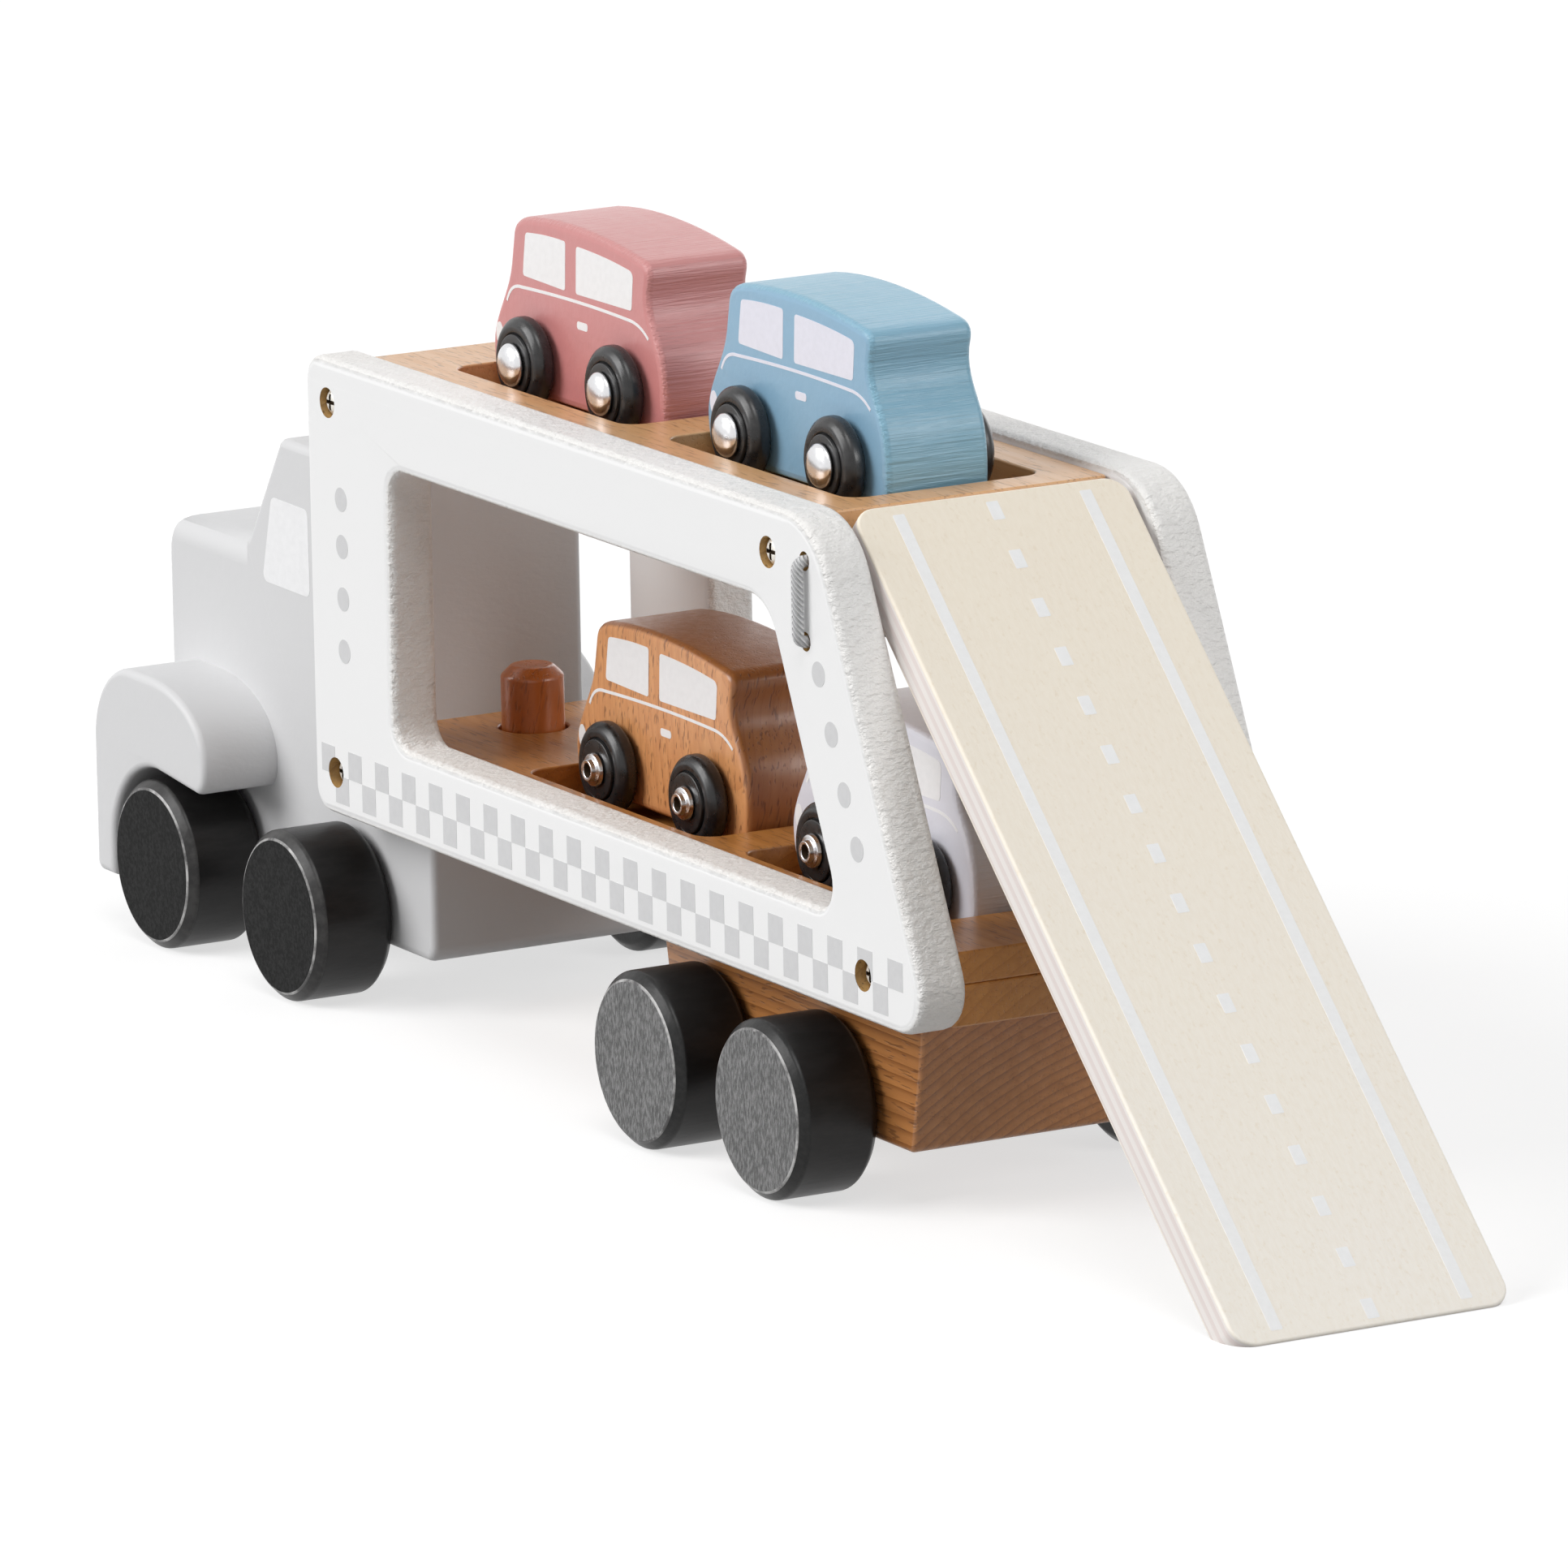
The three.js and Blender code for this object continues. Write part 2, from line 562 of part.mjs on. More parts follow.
function pegCut() {
  const pegHole = PEG_DIAMETER / 2 + PEG_PLAY;
  const [low, high] = [lowerDeckBottom - CUT_PAST, lowerDeckTop + CUT_PAST];
  return rodAlongZ(pegHole, PEG_SETBACK, low, high, WHEEL_SIDES);
}

// A deck is a board with two car pockets in its top and pilot holes in its long edges.
function deck(word, [start, end], [bottom, top], pocketStart) {
  const board = rectangle(start, end, -deckSide, deckSide, DECK_CORNER);
  return cut(plate(board, bottom, top), [...pocketCuts(top, pocketStart), ...pilotCuts(word)]);
}

function addDecks(group) {
  const upperSpan = [UPPER_DECK_SETBACK, upperDeckEnd];
  const upper = deck('upper', upperSpan, [upperDeckBottom, upperDeckTop], UPPER_POCKET_START);
  const lower = deck('lower', [0, lowerDeckEnd], [lowerDeckBottom, lowerDeckTop], LOWER_POCKET_START);
  addPiece(group, 'upper_deck', upper, 'paleBeech');
  addPiece(group, 'lower_deck', cut(lower, [pegCut()]), 'darkBeech');
}

function bogieBlock() {
  const top = chassisTop;
  const bottom = axleHeight - BOGIE_BELOW_AXLE;
  const end = bogieStart + BOGIE_TOP_LENGTH;
  const outline = roundedOutline([
    [bogieStart + BOGIE_UNDERCUT, bottom, BOGIE_CORNER], [end - BOGIE_UNDERCUT, bottom, BOGIE_CORNER],
    [end, top, BOGIE_CORNER], [bogieStart, top, BOGIE_CORNER],
  ]);
  return cut(slab(outline, [-blockSide, blockSide], BOGIE_EDGE), bogieAxles.map(axleBore));
}

// A pan head on a plain shank with a point, lying along +Y with the head outermost.
function screw() {
  const head = SCREW_HEAD_DIAMETER / 2;
  const shank = SCREW_SHANK_DIAMETER / 2;
  const tip = panelInner - SCREW_IN_DECK;
  const top = panelOuter - SCREW_SUNK;
  const seat = top - SCREW_HEAD_HEIGHT;
  return geometryOf(solid(turned([
    [0, tip], [shank, tip + SCREW_TIP], [shank, seat], [head, seat],
    [head, top - SCREW_HEAD_HEIGHT / 2], [head / 2, top], [0, top],
  ], SCREW_SIDES)));
}

function addScrews(group) {
  for (const [side, word] of SIDES) {
    for (const [place, x, z] of SCREWS) {
      const piece = addPiece(group, `${word}_${place}_screw`, screw(), 'zinc');
      piece.position.set(x, 0, z);
      piece.rotation.z = side === LEFT ? Math.PI : 0;
    }
  }
}

// The ramp lies on the floor: a thin board, its lower end cut flat where it meets the floor.
function ramp() {
  const side = panelInner - RAMP_SIDE_GAP;
  const board = rectangle(-RAMP_HINGE_INSET, rampReach, -side, side, RAMP_CORNER);
  const geometry = plate(board, -RAMP_THICKNESS / 2, RAMP_THICKNESS / 2);
  geometry.rotateY(rampAngle);
  geometry.translate(hingeX, 0, hingeHeight);
  const bore = ELASTIC_DIAMETER / 2 + ELASTIC_HOLE_GAP;
  const past = side + CUT_PAST;
  const floor = rectangle(hingeX, rampTip + CUT_PAST, -past, past, CUT_PAST);
  return cut(geometry, [
    rodAlongY(bore, hingeX, hingeHeight, -past, past),
    plate(floor, -RAMP_THICKNESS - CUT_PAST, 0),
  ]);
}

// A cord through stations that are set one by one, so that it keeps to its holes and bends.
class CordRoute extends THREE.Curve {
  constructor(stations) {
    super();
    this.stations = stations;
  }

  getPoint(t, target = new THREE.Vector3()) {
    return target.copy(this.stations[Math.round(t * (this.stations.length - 1))]);
  }

  getPointAt(t, target) {
    return this.getPoint(t, target);
  }

  getTangentAt(t, target = new THREE.Vector3()) {
    const last = this.stations.length - 1;
    const i = Math.round(t * last);
    const ahead = this.stations[Math.min(i + 1, last)];
    return target.copy(ahead).sub(this.stations[Math.max(i - 1, 0)]).normalize();
  }
}

// The elastic is the ramp's hinge pin. It runs across the toy through the ramp, comes out of
// both panels, lies down their outer faces and comes back in to a knot between the panels.
function elasticRoute() {
  const lower = hingeHeight - ELASTIC_HOLE_SPACING;
  const stations = [];
  const add = (y, z) => stations.push(new THREE.Vector3(hingeX, y, z));
  const bend = Math.SQRT1_2 * ELASTIC_BEND;
  const half = ELASTIC_BEND - bend;
  const outer = panelOuter + ELASTIC_BEND;
  const runSteps = Math.round(panelOuter / CORD_STEP);
  const run = (from, to, z, steps) => {
    for (let i = 0; i <= steps; i += 1) add(from + ((to - from) * i) / steps, z);
  };
  run(KNOT_DIAMETER / 4, panelOuter, lower, runSteps);
  add(panelOuter + bend, lower + half);
  add(outer, lower + ELASTIC_BEND);
  add(outer, (lower + hingeHeight) / 2);
  add(outer, hingeHeight - ELASTIC_BEND);
  add(panelOuter + bend, hingeHeight - half);
  run(panelOuter, -panelOuter, hingeHeight, 2 * runSteps);
  add(-panelOuter - bend, hingeHeight - half);
  add(-outer, hingeHeight - ELASTIC_BEND);
  add(-outer, (lower + hingeHeight) / 2);
  add(-outer, lower + ELASTIC_BEND);
  add(-panelOuter - bend, lower + half);
  run(-panelOuter, -KNOT_DIAMETER / 4, lower, runSteps);
  return new CordRoute(stations);
}

function elasticCord() {
  const route = elasticRoute();
  const section = new THREE.Shape();
  section.absarc(0, 0, ELASTIC_DIAMETER / 2, 0, Math.PI * 2, false);
  const tube = new THREE.ExtrudeGeometry(section, {
    extrudePath: route,
    steps: route.stations.length - 1,
    curveSegments: CORD_SIDES / 2,
  });
  const knot = new THREE.SphereGeometry(KNOT_DIAMETER / 2, HOLE_SIDES, CORD_SIDES);
  knot.translate(hingeX, 0, hingeHeight - ELASTIC_HOLE_SPACING);
  return geometryOf(solid(tube).add(solid(knot)));
}

function addTrailer(group) {
  for (const [side, word] of SIDES) addPiece(group, `${word}_side_panel`, sidePanel(side), 'whitePaint');
  addDecks(group);
  addPiece(group, 'bogie_block', bogieBlock(), 'darkBeech');
  addWheelset(group, 'trailer_front', bogieAxles[0]);
  addWheelset(group, 'trailer_rear', bogieAxles[1]);
  addScrews(group);
  addPiece(group, 'elastic_cord', elasticCord(), 'elastic');
  addPiece(group, 'ramp', ramp(), 'rampPly');
}

// Cars

// The side of a car, from its nose at X = 0 and the floor of its pocket at Z = 0.
function carOutline() {
  const side = new THREE.Shape();
  const draw = (curves, place) => {
    for (const points of curves) {
      const flat = points.flatMap(([inset, z]) => [place(inset), z]);
      if (points.length === 3) side.bezierCurveTo(...flat);
      else if (points.length === 2) side.quadraticCurveTo(...flat);
      else side.lineTo(...flat);
    }
  };
  const [noseInset, tailInset] = CAR_SILL_ENDS;
  side.moveTo(noseInset, CAR_SILL);
  side.lineTo(CAR_LENGTH - tailInset, CAR_SILL);
  draw(CAR_TAIL, (inset) => CAR_LENGTH - inset);
  draw(CAR_NOSE, (inset) => inset);
  return side;
}

const carAxles = [CAR_FRONT_AXLE, CAR_FRONT_AXLE + CAR_WHEELBASE];
const carAxleHeight = CAR_WHEEL_DIAMETER / 2;
const carWheelInner = CAR_WIDTH / 2 + CAR_WHEEL_GAP;
const carWheelOuter = carWheelInner + CAR_WHEEL_WIDTH;
const carSide = carWheelOuter + PRESS_GAP + CAP_HEIGHT;

function carBody() {
  const half = CAR_WIDTH / 2;
  const bore = CAR_AXLE_DIAMETER / 2 + TURN_GAP;
  const bores = carAxles.map((x) => rodAlongY(bore, x, carAxleHeight, -half - CUT_PAST, half + CUT_PAST));
  return cut(slab(carOutline(), [-half, half], CAR_EDGE, CAR_STEPS), bores);
}

function carWheel() {
  const radius = CAR_WHEEL_DIAMETER / 2;
  const bore = CAR_AXLE_DIAMETER / 2 + PRESS_GAP;
  return geometryOf(solid(turned([
    [bore, 0],
    [radius - CAR_WHEEL_CHAMFER, 0],
    [radius, CAR_WHEEL_CHAMFER],
    [radius, CAR_WHEEL_WIDTH - CAR_WHEEL_CHAMFER],
    [radius - CAR_WHEEL_CHAMFER, CAR_WHEEL_WIDTH],
    [bore, CAR_WHEEL_WIDTH],
    [bore, 0],
  ], CAR_WHEEL_SIDES)));
}

// A tubular rivet: a domed cap at one end, a rod, and a hollow rolled end at the other.
function carAxle() {
  const rod = CAR_AXLE_DIAMETER / 2;
  const rivet = RIVET_DIAMETER / 2;
  const cap = CAP_DIAMETER / 2;
  const face = carWheelOuter + PRESS_GAP;
  return geometryOf(solid(turned([
    [0, -face - RIVET_HEIGHT + RIVET_RECESS],
    [rod, -face - RIVET_HEIGHT + RIVET_RECESS],
    [rod, -face - RIVET_HEIGHT],
    [rivet, -face - RIVET_HEIGHT],
    [rivet, -face],
    [rod, -face],
    [rod, face],
    [cap, face],
    [CAP_CROWN_DIAMETER / 2, face + CAP_RIM_HEIGHT],
    [0, face + CAP_HEIGHT],
  ], CAR_AXLE_SIDES)));
}

// One car, whose caps show on the side that capSide names.
function addCar(group, name, paint, capSide) {
  addPiece(group, `${name}_body`, carBody(), paint);
  for (const [i, end] of ['front', 'rear'].entries()) {
    const axle = addPiece(group, `${name}_${end}_axle`, carAxle(), 'chrome');
    axle.position.set(carAxles[i], 0, carAxleHeight);
    axle.rotation.z = capSide === LEFT ? Math.PI : 0;
    for (const [side, word] of SIDES) {
      const wheel = addPiece(group, `${name}_${end}_${word}_wheel`, carWheel(), 'rubber');
      wheel.position.set(carAxles[i], side * carWheelInner, carAxleHeight);
      wheel.rotation.z = side === LEFT ? Math.PI : 0;
    }
  }
}

// Each car stands in its pocket, against one side of it.
const CARS = [
  { name: 'pink_car', paint: 'pinkPaint', upper: true, place: 0 },
  { name: 'blue_car', paint: 'bluePaint', upper: true, place: 1 },
  { name: 'natural_car', paint: 'paleBeech', upper: false, place: 0 },
  { name: 'white_car', paint: 'paleLavender', upper: false, place: 1 },
];

function addCars(group) {
  const sidePlay = POCKET_WIDTH / 2 - carSide - CAR_SIDE_GAP;
  for (const { name, paint, upper, place } of CARS) {
    const start = upper ? UPPER_POCKET_START : LOWER_POCKET_START;
    const deckTop = upper ? upperDeckTop : lowerDeckTop;
    const side = upper ? LEFT : RIGHT;
    const car = new THREE.Group();
    car.position.set(
      start + place * (pocketLength + POCKET_SPACING) + CAR_NOSE_GAP,
      side * sidePlay,
      deckTop - POCKET_DEPTH + GLUE_GAP,
    );
    addCar(car, name, paint, upper ? LEFT : RIGHT);
    group.add(car);
  }
}

const transporter = new THREE.Group();
transporter.position.x = -middleOfLength;
addTractor(transporter);
addTrailer(transporter);
addCars(transporter);

export default transporter;
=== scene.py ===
import json
import math

import bpy
from mathutils import Matrix, Vector


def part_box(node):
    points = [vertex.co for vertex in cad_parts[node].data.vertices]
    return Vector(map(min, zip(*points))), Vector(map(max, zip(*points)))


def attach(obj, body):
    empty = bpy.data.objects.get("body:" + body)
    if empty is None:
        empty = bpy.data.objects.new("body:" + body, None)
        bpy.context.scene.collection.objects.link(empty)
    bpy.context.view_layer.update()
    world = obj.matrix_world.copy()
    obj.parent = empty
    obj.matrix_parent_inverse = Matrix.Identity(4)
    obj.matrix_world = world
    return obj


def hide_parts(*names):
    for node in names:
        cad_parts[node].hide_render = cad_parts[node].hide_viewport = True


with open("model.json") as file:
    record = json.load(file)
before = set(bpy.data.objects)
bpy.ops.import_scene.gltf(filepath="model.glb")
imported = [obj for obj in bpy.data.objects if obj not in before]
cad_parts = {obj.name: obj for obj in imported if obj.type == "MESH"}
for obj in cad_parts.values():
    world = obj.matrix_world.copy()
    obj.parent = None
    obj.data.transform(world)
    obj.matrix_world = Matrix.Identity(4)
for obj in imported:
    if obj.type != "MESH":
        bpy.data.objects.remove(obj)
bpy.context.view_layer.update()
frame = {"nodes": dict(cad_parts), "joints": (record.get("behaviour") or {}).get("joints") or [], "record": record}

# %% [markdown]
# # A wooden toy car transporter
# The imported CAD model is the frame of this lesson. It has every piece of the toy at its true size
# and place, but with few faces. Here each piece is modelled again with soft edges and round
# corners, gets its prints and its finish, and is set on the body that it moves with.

MM = 0.001
record = frame["record"]
body_of = {node: body for body, nodes in record["behaviour"]["bodies"].items() for node in nodes}
panel_low, panel_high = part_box("left_side_panel")
home_x = panel_low.x
LEFT, RIGHT = -1, 1
SIDES = {"left": LEFT, "right": RIGHT}

# %% [markdown]
# ## Measures in millimetres
# A toy maker measures in millimetres: along the toy from the front edge of the side panels, across
# from the middle plane, and up from the floor. This cell turns such places into the frame's
# metres, and reads the CAD boxes in the same millimetres, so that new pieces follow the frame.

# %% Places in millimetres
def place(x, y, z):
    return Vector((home_x + x * MM, y * MM, z * MM))


def box_mm(node):
    low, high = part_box(node)
    shift = Vector((home_x, 0, 0))
    return (low - shift) / MM, (high - shift) / MM


panel_bottom, panel_top = panel_low.z / MM, panel_high.z / MM
panel_outer, panel_inner = -panel_low.y / MM, -panel_high.y / MM
print("panels from z", round(panel_bottom, 2), "to", round(panel_top, 2), "mm, inner faces at y",
      round(panel_inner, 2))

# %% [markdown]
# ## Outlines
# Nearly every piece is sawn from a board, so it starts as an outline. A corner is given with its
# radius, and its arc is worked out. Curved sides are Bezier curves, as in a drawing program, and a
# thin painted line is a path with a width.

# %% Rounded corners, curves and strokes
ARC_STEPS = 8
CIRCLE_STEPS = 32


def rounded(corners, steps=ARC_STEPS):
    """A closed outline from corners (x, z, radius)."""
    points = []
    for i, (x, z, radius) in enumerate(corners):
        corner = Vector((x, z))
        back = (Vector(corners[i - 1][:2]) - corner).normalized()
        ahead = (Vector(corners[(i + 1) % len(corners)][:2]) - corner).normalized()
        half = back.angle(ahead) / 2
        centre = corner + (back + ahead).normalized() * radius / math.sin(half)
        start = corner + back * radius / math.tan(half) - centre
        sweep = back.angle_signed(ahead)
        turn = math.copysign(math.pi - 2 * half, -sweep)
        for k in range(steps + 1):
            points.append(centre + Matrix.Rotation(-turn * k / steps, 2) @ start)
    return points


def oval(x, z, wide, high, steps):
    turns = [2 * math.pi * k / steps for k in range(steps)]
    return [Vector((x + wide * math.cos(t), z + high * math.sin(t))) for t in turns]


def circle(x, z, radius, steps=CIRCLE_STEPS):
    return oval(x, z, radius, radius, steps)


def bezier(points, steps=ARC_STEPS):
    """Points on one curve of two, three or four control points, without the last one."""
    curve = []
    for k in range(steps if len(points) > 2 else 1):
        row = [Vector(p) for p in points]
        while len(row) > 1:
            row = [a.lerp(b, k / steps) for a, b in zip(row, row[1:])]
        curve.append(row[0])
    return curve


def stroke(path, width):
    """A closed outline round an open path."""
    sides = [[], []]
    for i, point in enumerate(path):
        run = (path[min(i + 1, len(path) - 1)] - path[max(i - 1, 0)]).normalized()
        across = Vector((-run.y, run.x)) * width / 2
        sides[0].append(point + across)
        sides[1].append(point - across)
    return sides[0] + sides[1][::-1]


def closed(loop):
    """The same outline, running anticlockwise."""
    area = sum(a.x * b.y - b.x * a.y for a, b in zip(loop, loop[1:] + loop[:1]))
    return loop if area > 0 else loop[::-1]


print("steps of an arc", ARC_STEPS, "and of a circle", CIRCLE_STEPS)

# %% [markdown]
# ## Boards
# A board could be a cube with bevelled corners, but a window in it would then need a boolean. A
# flat Blender curve takes an outline and its holes together, gives them thickness, and rounds all
# edges as a sanding block does. It is made a mesh, and only then turned upright and set in its
# place.

# %% Boards from flat curves
SMOOTH_ANGLE = math.radians(32)
FLAT_FACE_WEIGHT = 80
DOUBLES_WITHIN = 1e-6
EDGE_STEPS = 3


def select_only(piece):
    bpy.ops.object.select_all(action="DESELECT")
    piece.select_set(True)
    bpy.context.view_layer.objects.active = piece


def tidy_mesh(piece):
    """Merges doubles and turns all faces outwards."""
    select_only(piece)
    bpy.ops.object.mode_set(mode="EDIT")
    bpy.ops.mesh.select_all(action="SELECT")
    bpy.ops.mesh.remove_doubles(threshold=DOUBLES_WITHIN)
    bpy.ops.mesh.normals_make_consistent(inside=False)
    bpy.ops.object.mode_set(mode="OBJECT")


def smooth(piece):
    """Round stretches shade as round, and flat faces stay flat."""
    select_only(piece)
    bpy.ops.object.shade_smooth_by_angle(angle=SMOOTH_ANGLE)
    weighted = piece.modifiers.new("flat faces lead", "WEIGHTED_NORMAL")
    weighted.keep_sharp = True
    weighted.weight = FLAT_FACE_WEIGHT
    bpy.ops.object.modifier_apply(modifier=weighted.name)
    return piece


def settle(piece):
    """Applies a piece's turn and place to its mesh."""
    select_only(piece)
    bpy.ops.object.transform_apply(location=True, rotation=True, scale=True)


def set_in_place(piece):
    """Settles a board, then cleans and shades its mesh."""
    settle(piece)
    tidy_mesh(piece)
    return smooth(piece)


def new_curve(name, dimensions, loops, cyclic=True):
    """The data of a new curve, with straight runs through points in metres."""
    bpy.ops.object.select_all(action="DESELECT")
    bpy.ops.curve.primitive_bezier_circle_add()
    bpy.context.object.name = name
    curve = bpy.context.object.data
    curve.dimensions = dimensions
    curve.splines.clear()
    for loop in loops:
        spline = curve.splines.new("POLY")
        spline.points.add(len(loop) - 1)
        for point, spot in zip(spline.points, loop):
            point.co = (*spot, 1)
        spline.use_cyclic_u = cyclic
    return curve


def flat_board(name, outlines, thickness, edge):
    """A board lying in its own plane, its middle at height 0. Later outlines are holes."""
    loops = [[(u * MM, v * MM, 0) for u, v in closed(outline)] for outline in outlines]
    curve = new_curve(name, "2D", loops)
    curve.fill_mode = "BOTH"
    curve.extrude = (thickness / 2 - edge) * MM
    curve.bevel_depth = edge * MM
    curve.bevel_resolution = EDGE_STEPS
    curve.offset = -edge * MM
    bpy.ops.object.convert(target="MESH")
    return bpy.context.object


def upright_board(name, outlines, y_low, y_high, edge=0.0):
    """A board standing along the toy: outlines in x and z, thickness across."""
    piece = flat_board(name, outlines, y_high - y_low, edge)
    piece.rotation_euler.x = math.pi / 2
    piece.location = place(0, (y_low + y_high) / 2, 0)
    return set_in_place(piece)


def level_board(name, outlines, z_low, z_high, edge=0.0):
    """A board lying level: outlines in x and y, thickness upwards."""
    piece = flat_board(name, outlines, z_high - z_low, edge)
    piece.location = place(0, 0, (z_low + z_high) / 2)
    return set_in_place(piece)


def span(side, near, far):
    """From near to far of the middle plane, on one side of the toy."""
    return (-far, -near) if side == LEFT else (near, far)


print("boards: edges rounded in", EDGE_STEPS, "steps")

# %% [markdown]
# ## Round pieces
# Wheels, pegs, caps and screw heads come off a lathe. By hand one vertex is extruded along half of
# the profile, and the profile is spun about the axle. Corners that a turner breaks with sandpaper
# are rounded in the profile. All round pieces are made about the Y axis, with the outer face at
# +Y.

# %% Turning on a lathe
TURN_STEPS = 72
TURNED_CORNER_STEPS = 4


def turned_profile(corners):
    """An open run of (radius, along) points from corners (radius, along, rounding)."""
    path = []
    for i, (r, h, rounding) in enumerate(corners):
        corner = Vector((r, h))
        if not rounding or i in (0, len(corners) - 1):
            path.append(corner)
            continue
        back = (Vector(corners[i - 1][:2]) - corner).normalized() * rounding
        ahead = (Vector(corners[i + 1][:2]) - corner).normalized() * rounding
        path += bezier([corner + back, corner, corner + ahead], TURNED_CORNER_STEPS)
        path.append(corner + ahead)
    return path


def turned(name, corners, steps=TURN_STEPS):
    """A profile, extruded from one vertex and spun about the Y axis."""
    path = turned_profile(corners)
    bpy.ops.object.select_all(action="DESELECT")
    bpy.ops.mesh.primitive_plane_add(size=MM)
    piece = bpy.context.object
    piece.name = name
    bpy.ops.object.mode_set(mode="EDIT")
    bpy.ops.mesh.select_all(action="SELECT")
    bpy.ops.mesh.merge(type="CENTER")
    bpy.ops.transform.translate(value=(path[0].x * MM, path[0].y * MM, 0))
    for here, there in zip(path, path[1:]):
        step = (there - here) * MM
        bpy.ops.mesh.extrude_region_move(TRANSFORM_OT_translate={"value": (step.x, step.y, 0)})
    bpy.ops.mesh.select_all(action="SELECT")
    bpy.ops.mesh.spin(steps=steps, angle=2 * math.pi, center=(0, 0, 0), axis=(0, 1, 0))
    bpy.ops.object.mode_set(mode="OBJECT")
    tidy_mesh(piece)
    return smooth(piece)


def copy_at(piece, name, where, turn=0.0):
    """A copy with its own mesh, turned about Z and set at a place."""
    select_only(piece)
    bpy.ops.object.duplicate()
    copy = bpy.context.object
    copy.name = name
    copy.rotation_euler.z = turn
    copy.location = where
    settle(copy)
    return copy


def facing(side):
    """How far a piece turns so that its outer face looks to that side."""
    return math.pi if side == LEFT else 0.0


def drop(piece):
    """Takes away a pattern or a cutter that has done its work."""
    bpy.data.objects.remove(piece)


print("turned pieces have", TURN_STEPS, "sides")

# %% [markdown]
# ## Cutting, painting and fitting
# Small holes are drilled with a boolean, because a flat curve would round their rims as softly as
# the board's outer edge. The bit's material goes with the cut, so that a hole can show bare wood.
# The last helpers give a piece its finish and let it stand for its CAD node.

# %% Helpers for cuts, finishes and bodies
OVERRUN = 1.0


def cut(piece, cutter):
    """Takes a cutter's shape out of a piece, and the cutter away."""
    select_only(piece)
    boolean = piece.modifiers.new("cut", "BOOLEAN")
    boolean.operation = "DIFFERENCE"
    boolean.solver = "EXACT"
    boolean.material_mode = "TRANSFER"
    boolean.object = cutter
    bpy.ops.object.modifier_apply(modifier=boolean.name)
    drop(cutter)
    return smooth(piece)


def coat(piece, *finishes):
    piece.data.materials.clear()
    for finish in finishes:
        piece.data.materials.append(finish)


def coat_where(piece, finish, test):
    """Gives a finish to the faces whose centre and normal pass a test."""
    piece.data.materials.append(finish)
    number = len(piece.data.materials) - 1
    for face in piece.data.polygons:
        if test(face.center, face.normal):
            face.material_index = number


def stands_for(piece, node):
    """Puts a piece in the place of its CAD node, on the same body."""
    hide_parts(node)
    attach(piece, body_of[node])


def goes_with(piece, node):
    """Sets a print on the body of the node that carries it."""
    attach(piece, body_of[node])


def joined(name, *pieces):
    bpy.ops.object.select_all(action="DESELECT")
    for piece in pieces:
        piece.select_set(True)
    bpy.context.view_layer.objects.active = pieces[0]
    bpy.ops.object.join()
    pieces[0].name = name
    return pieces[0]


print("cutters run", OVERRUN, "mm past the faces they cut")

# %% [markdown]
# ## Finishes: the node helpers
# All finishes are made of nodes that read Object coordinates, so a grain runs through a piece as
# it runs through wood. Colours are written as they look on a screen, from 0 to 255, and turned
# into the linear values that a shader works with.

# %% Node helpers
COAT_ROUGHNESS = 0.25
LOOKS_AWAY, LOOKS_ALONG = 0.75, 0.95


def shade(red, green, blue):
    """A screen colour as linear values."""
    def linear(v):
        v /= 255
        return v / 12.92 if v <= 0.04045 else ((v + 0.055) / 1.055) ** 2.4
    return linear(red), linear(green), linear(blue)


def shader_of(finish):
    return finish.node_tree.nodes["Principled BSDF"]


def new_finish(name, colour, roughness, metallic=0.0, specular=0.5, coat_weight=0.0):
    finish = bpy.data.materials.new(name)
    finish.use_nodes = True
    values = {"Base Color": (*colour, 1), "Roughness": roughness, "Metallic": metallic,
              "Specular IOR Level": specular, "Coat Weight": coat_weight,
              "Coat Roughness": COAT_ROUGHNESS}
    for socket, value in values.items():
        shader_of(finish).inputs[socket].default_value = value
    return finish


def add_node(finish, kind, inputs=None, **settings):
    """A new node; an input is a value or the output of another node."""
    node = finish.node_tree.nodes.new(kind)
    for name, value in settings.items():
        setattr(node, name, value)
    for socket, value in (inputs or {}).items():
        if isinstance(value, bpy.types.NodeSocket):
            finish.node_tree.links.new(value, node.inputs[socket])
        else:
            node.inputs[socket].default_value = value
    return node


def feed(finish, socket, output):
    finish.node_tree.links.new(output, shader_of(finish).inputs[socket])


def space(finish, scale=(1, 1, 1), location=(0, 0, 0), rotation=(0, 0, 0)):
    """Object coordinates, turned, moved and stretched."""
    coordinates = add_node(finish, "ShaderNodeTexCoord")
    turned_space = add_node(finish, "ShaderNodeMapping", {
        "Vector": coordinates.outputs["Object"], "Location": location, "Rotation": rotation})
    stretched = add_node(finish, "ShaderNodeVectorMath", {
        0: turned_space.outputs[0], 1: scale}, operation="MULTIPLY")
    return stretched.outputs[0]


def noise(finish, vector, scale=1.0, detail=2.0, roughness=0.5):
    return add_node(finish, "ShaderNodeTexNoise", {
        "Vector": vector, "Scale": scale, "Detail": detail, "Roughness": roughness}).outputs[0]


def between(finish, value, low, high, to_low=0.0, to_high=1.0):
    """A value mapped from one range to another and held inside it."""
    return add_node(finish, "ShaderNodeMapRange", {
        "Value": value, "From Min": low, "From Max": high,
        "To Min": to_low, "To Max": to_high}).outputs[0]


def math_node(finish, operation, a, b=0.0):
    return add_node(finish, "ShaderNodeMath", {0: a, 1: b}, operation=operation).outputs[0]


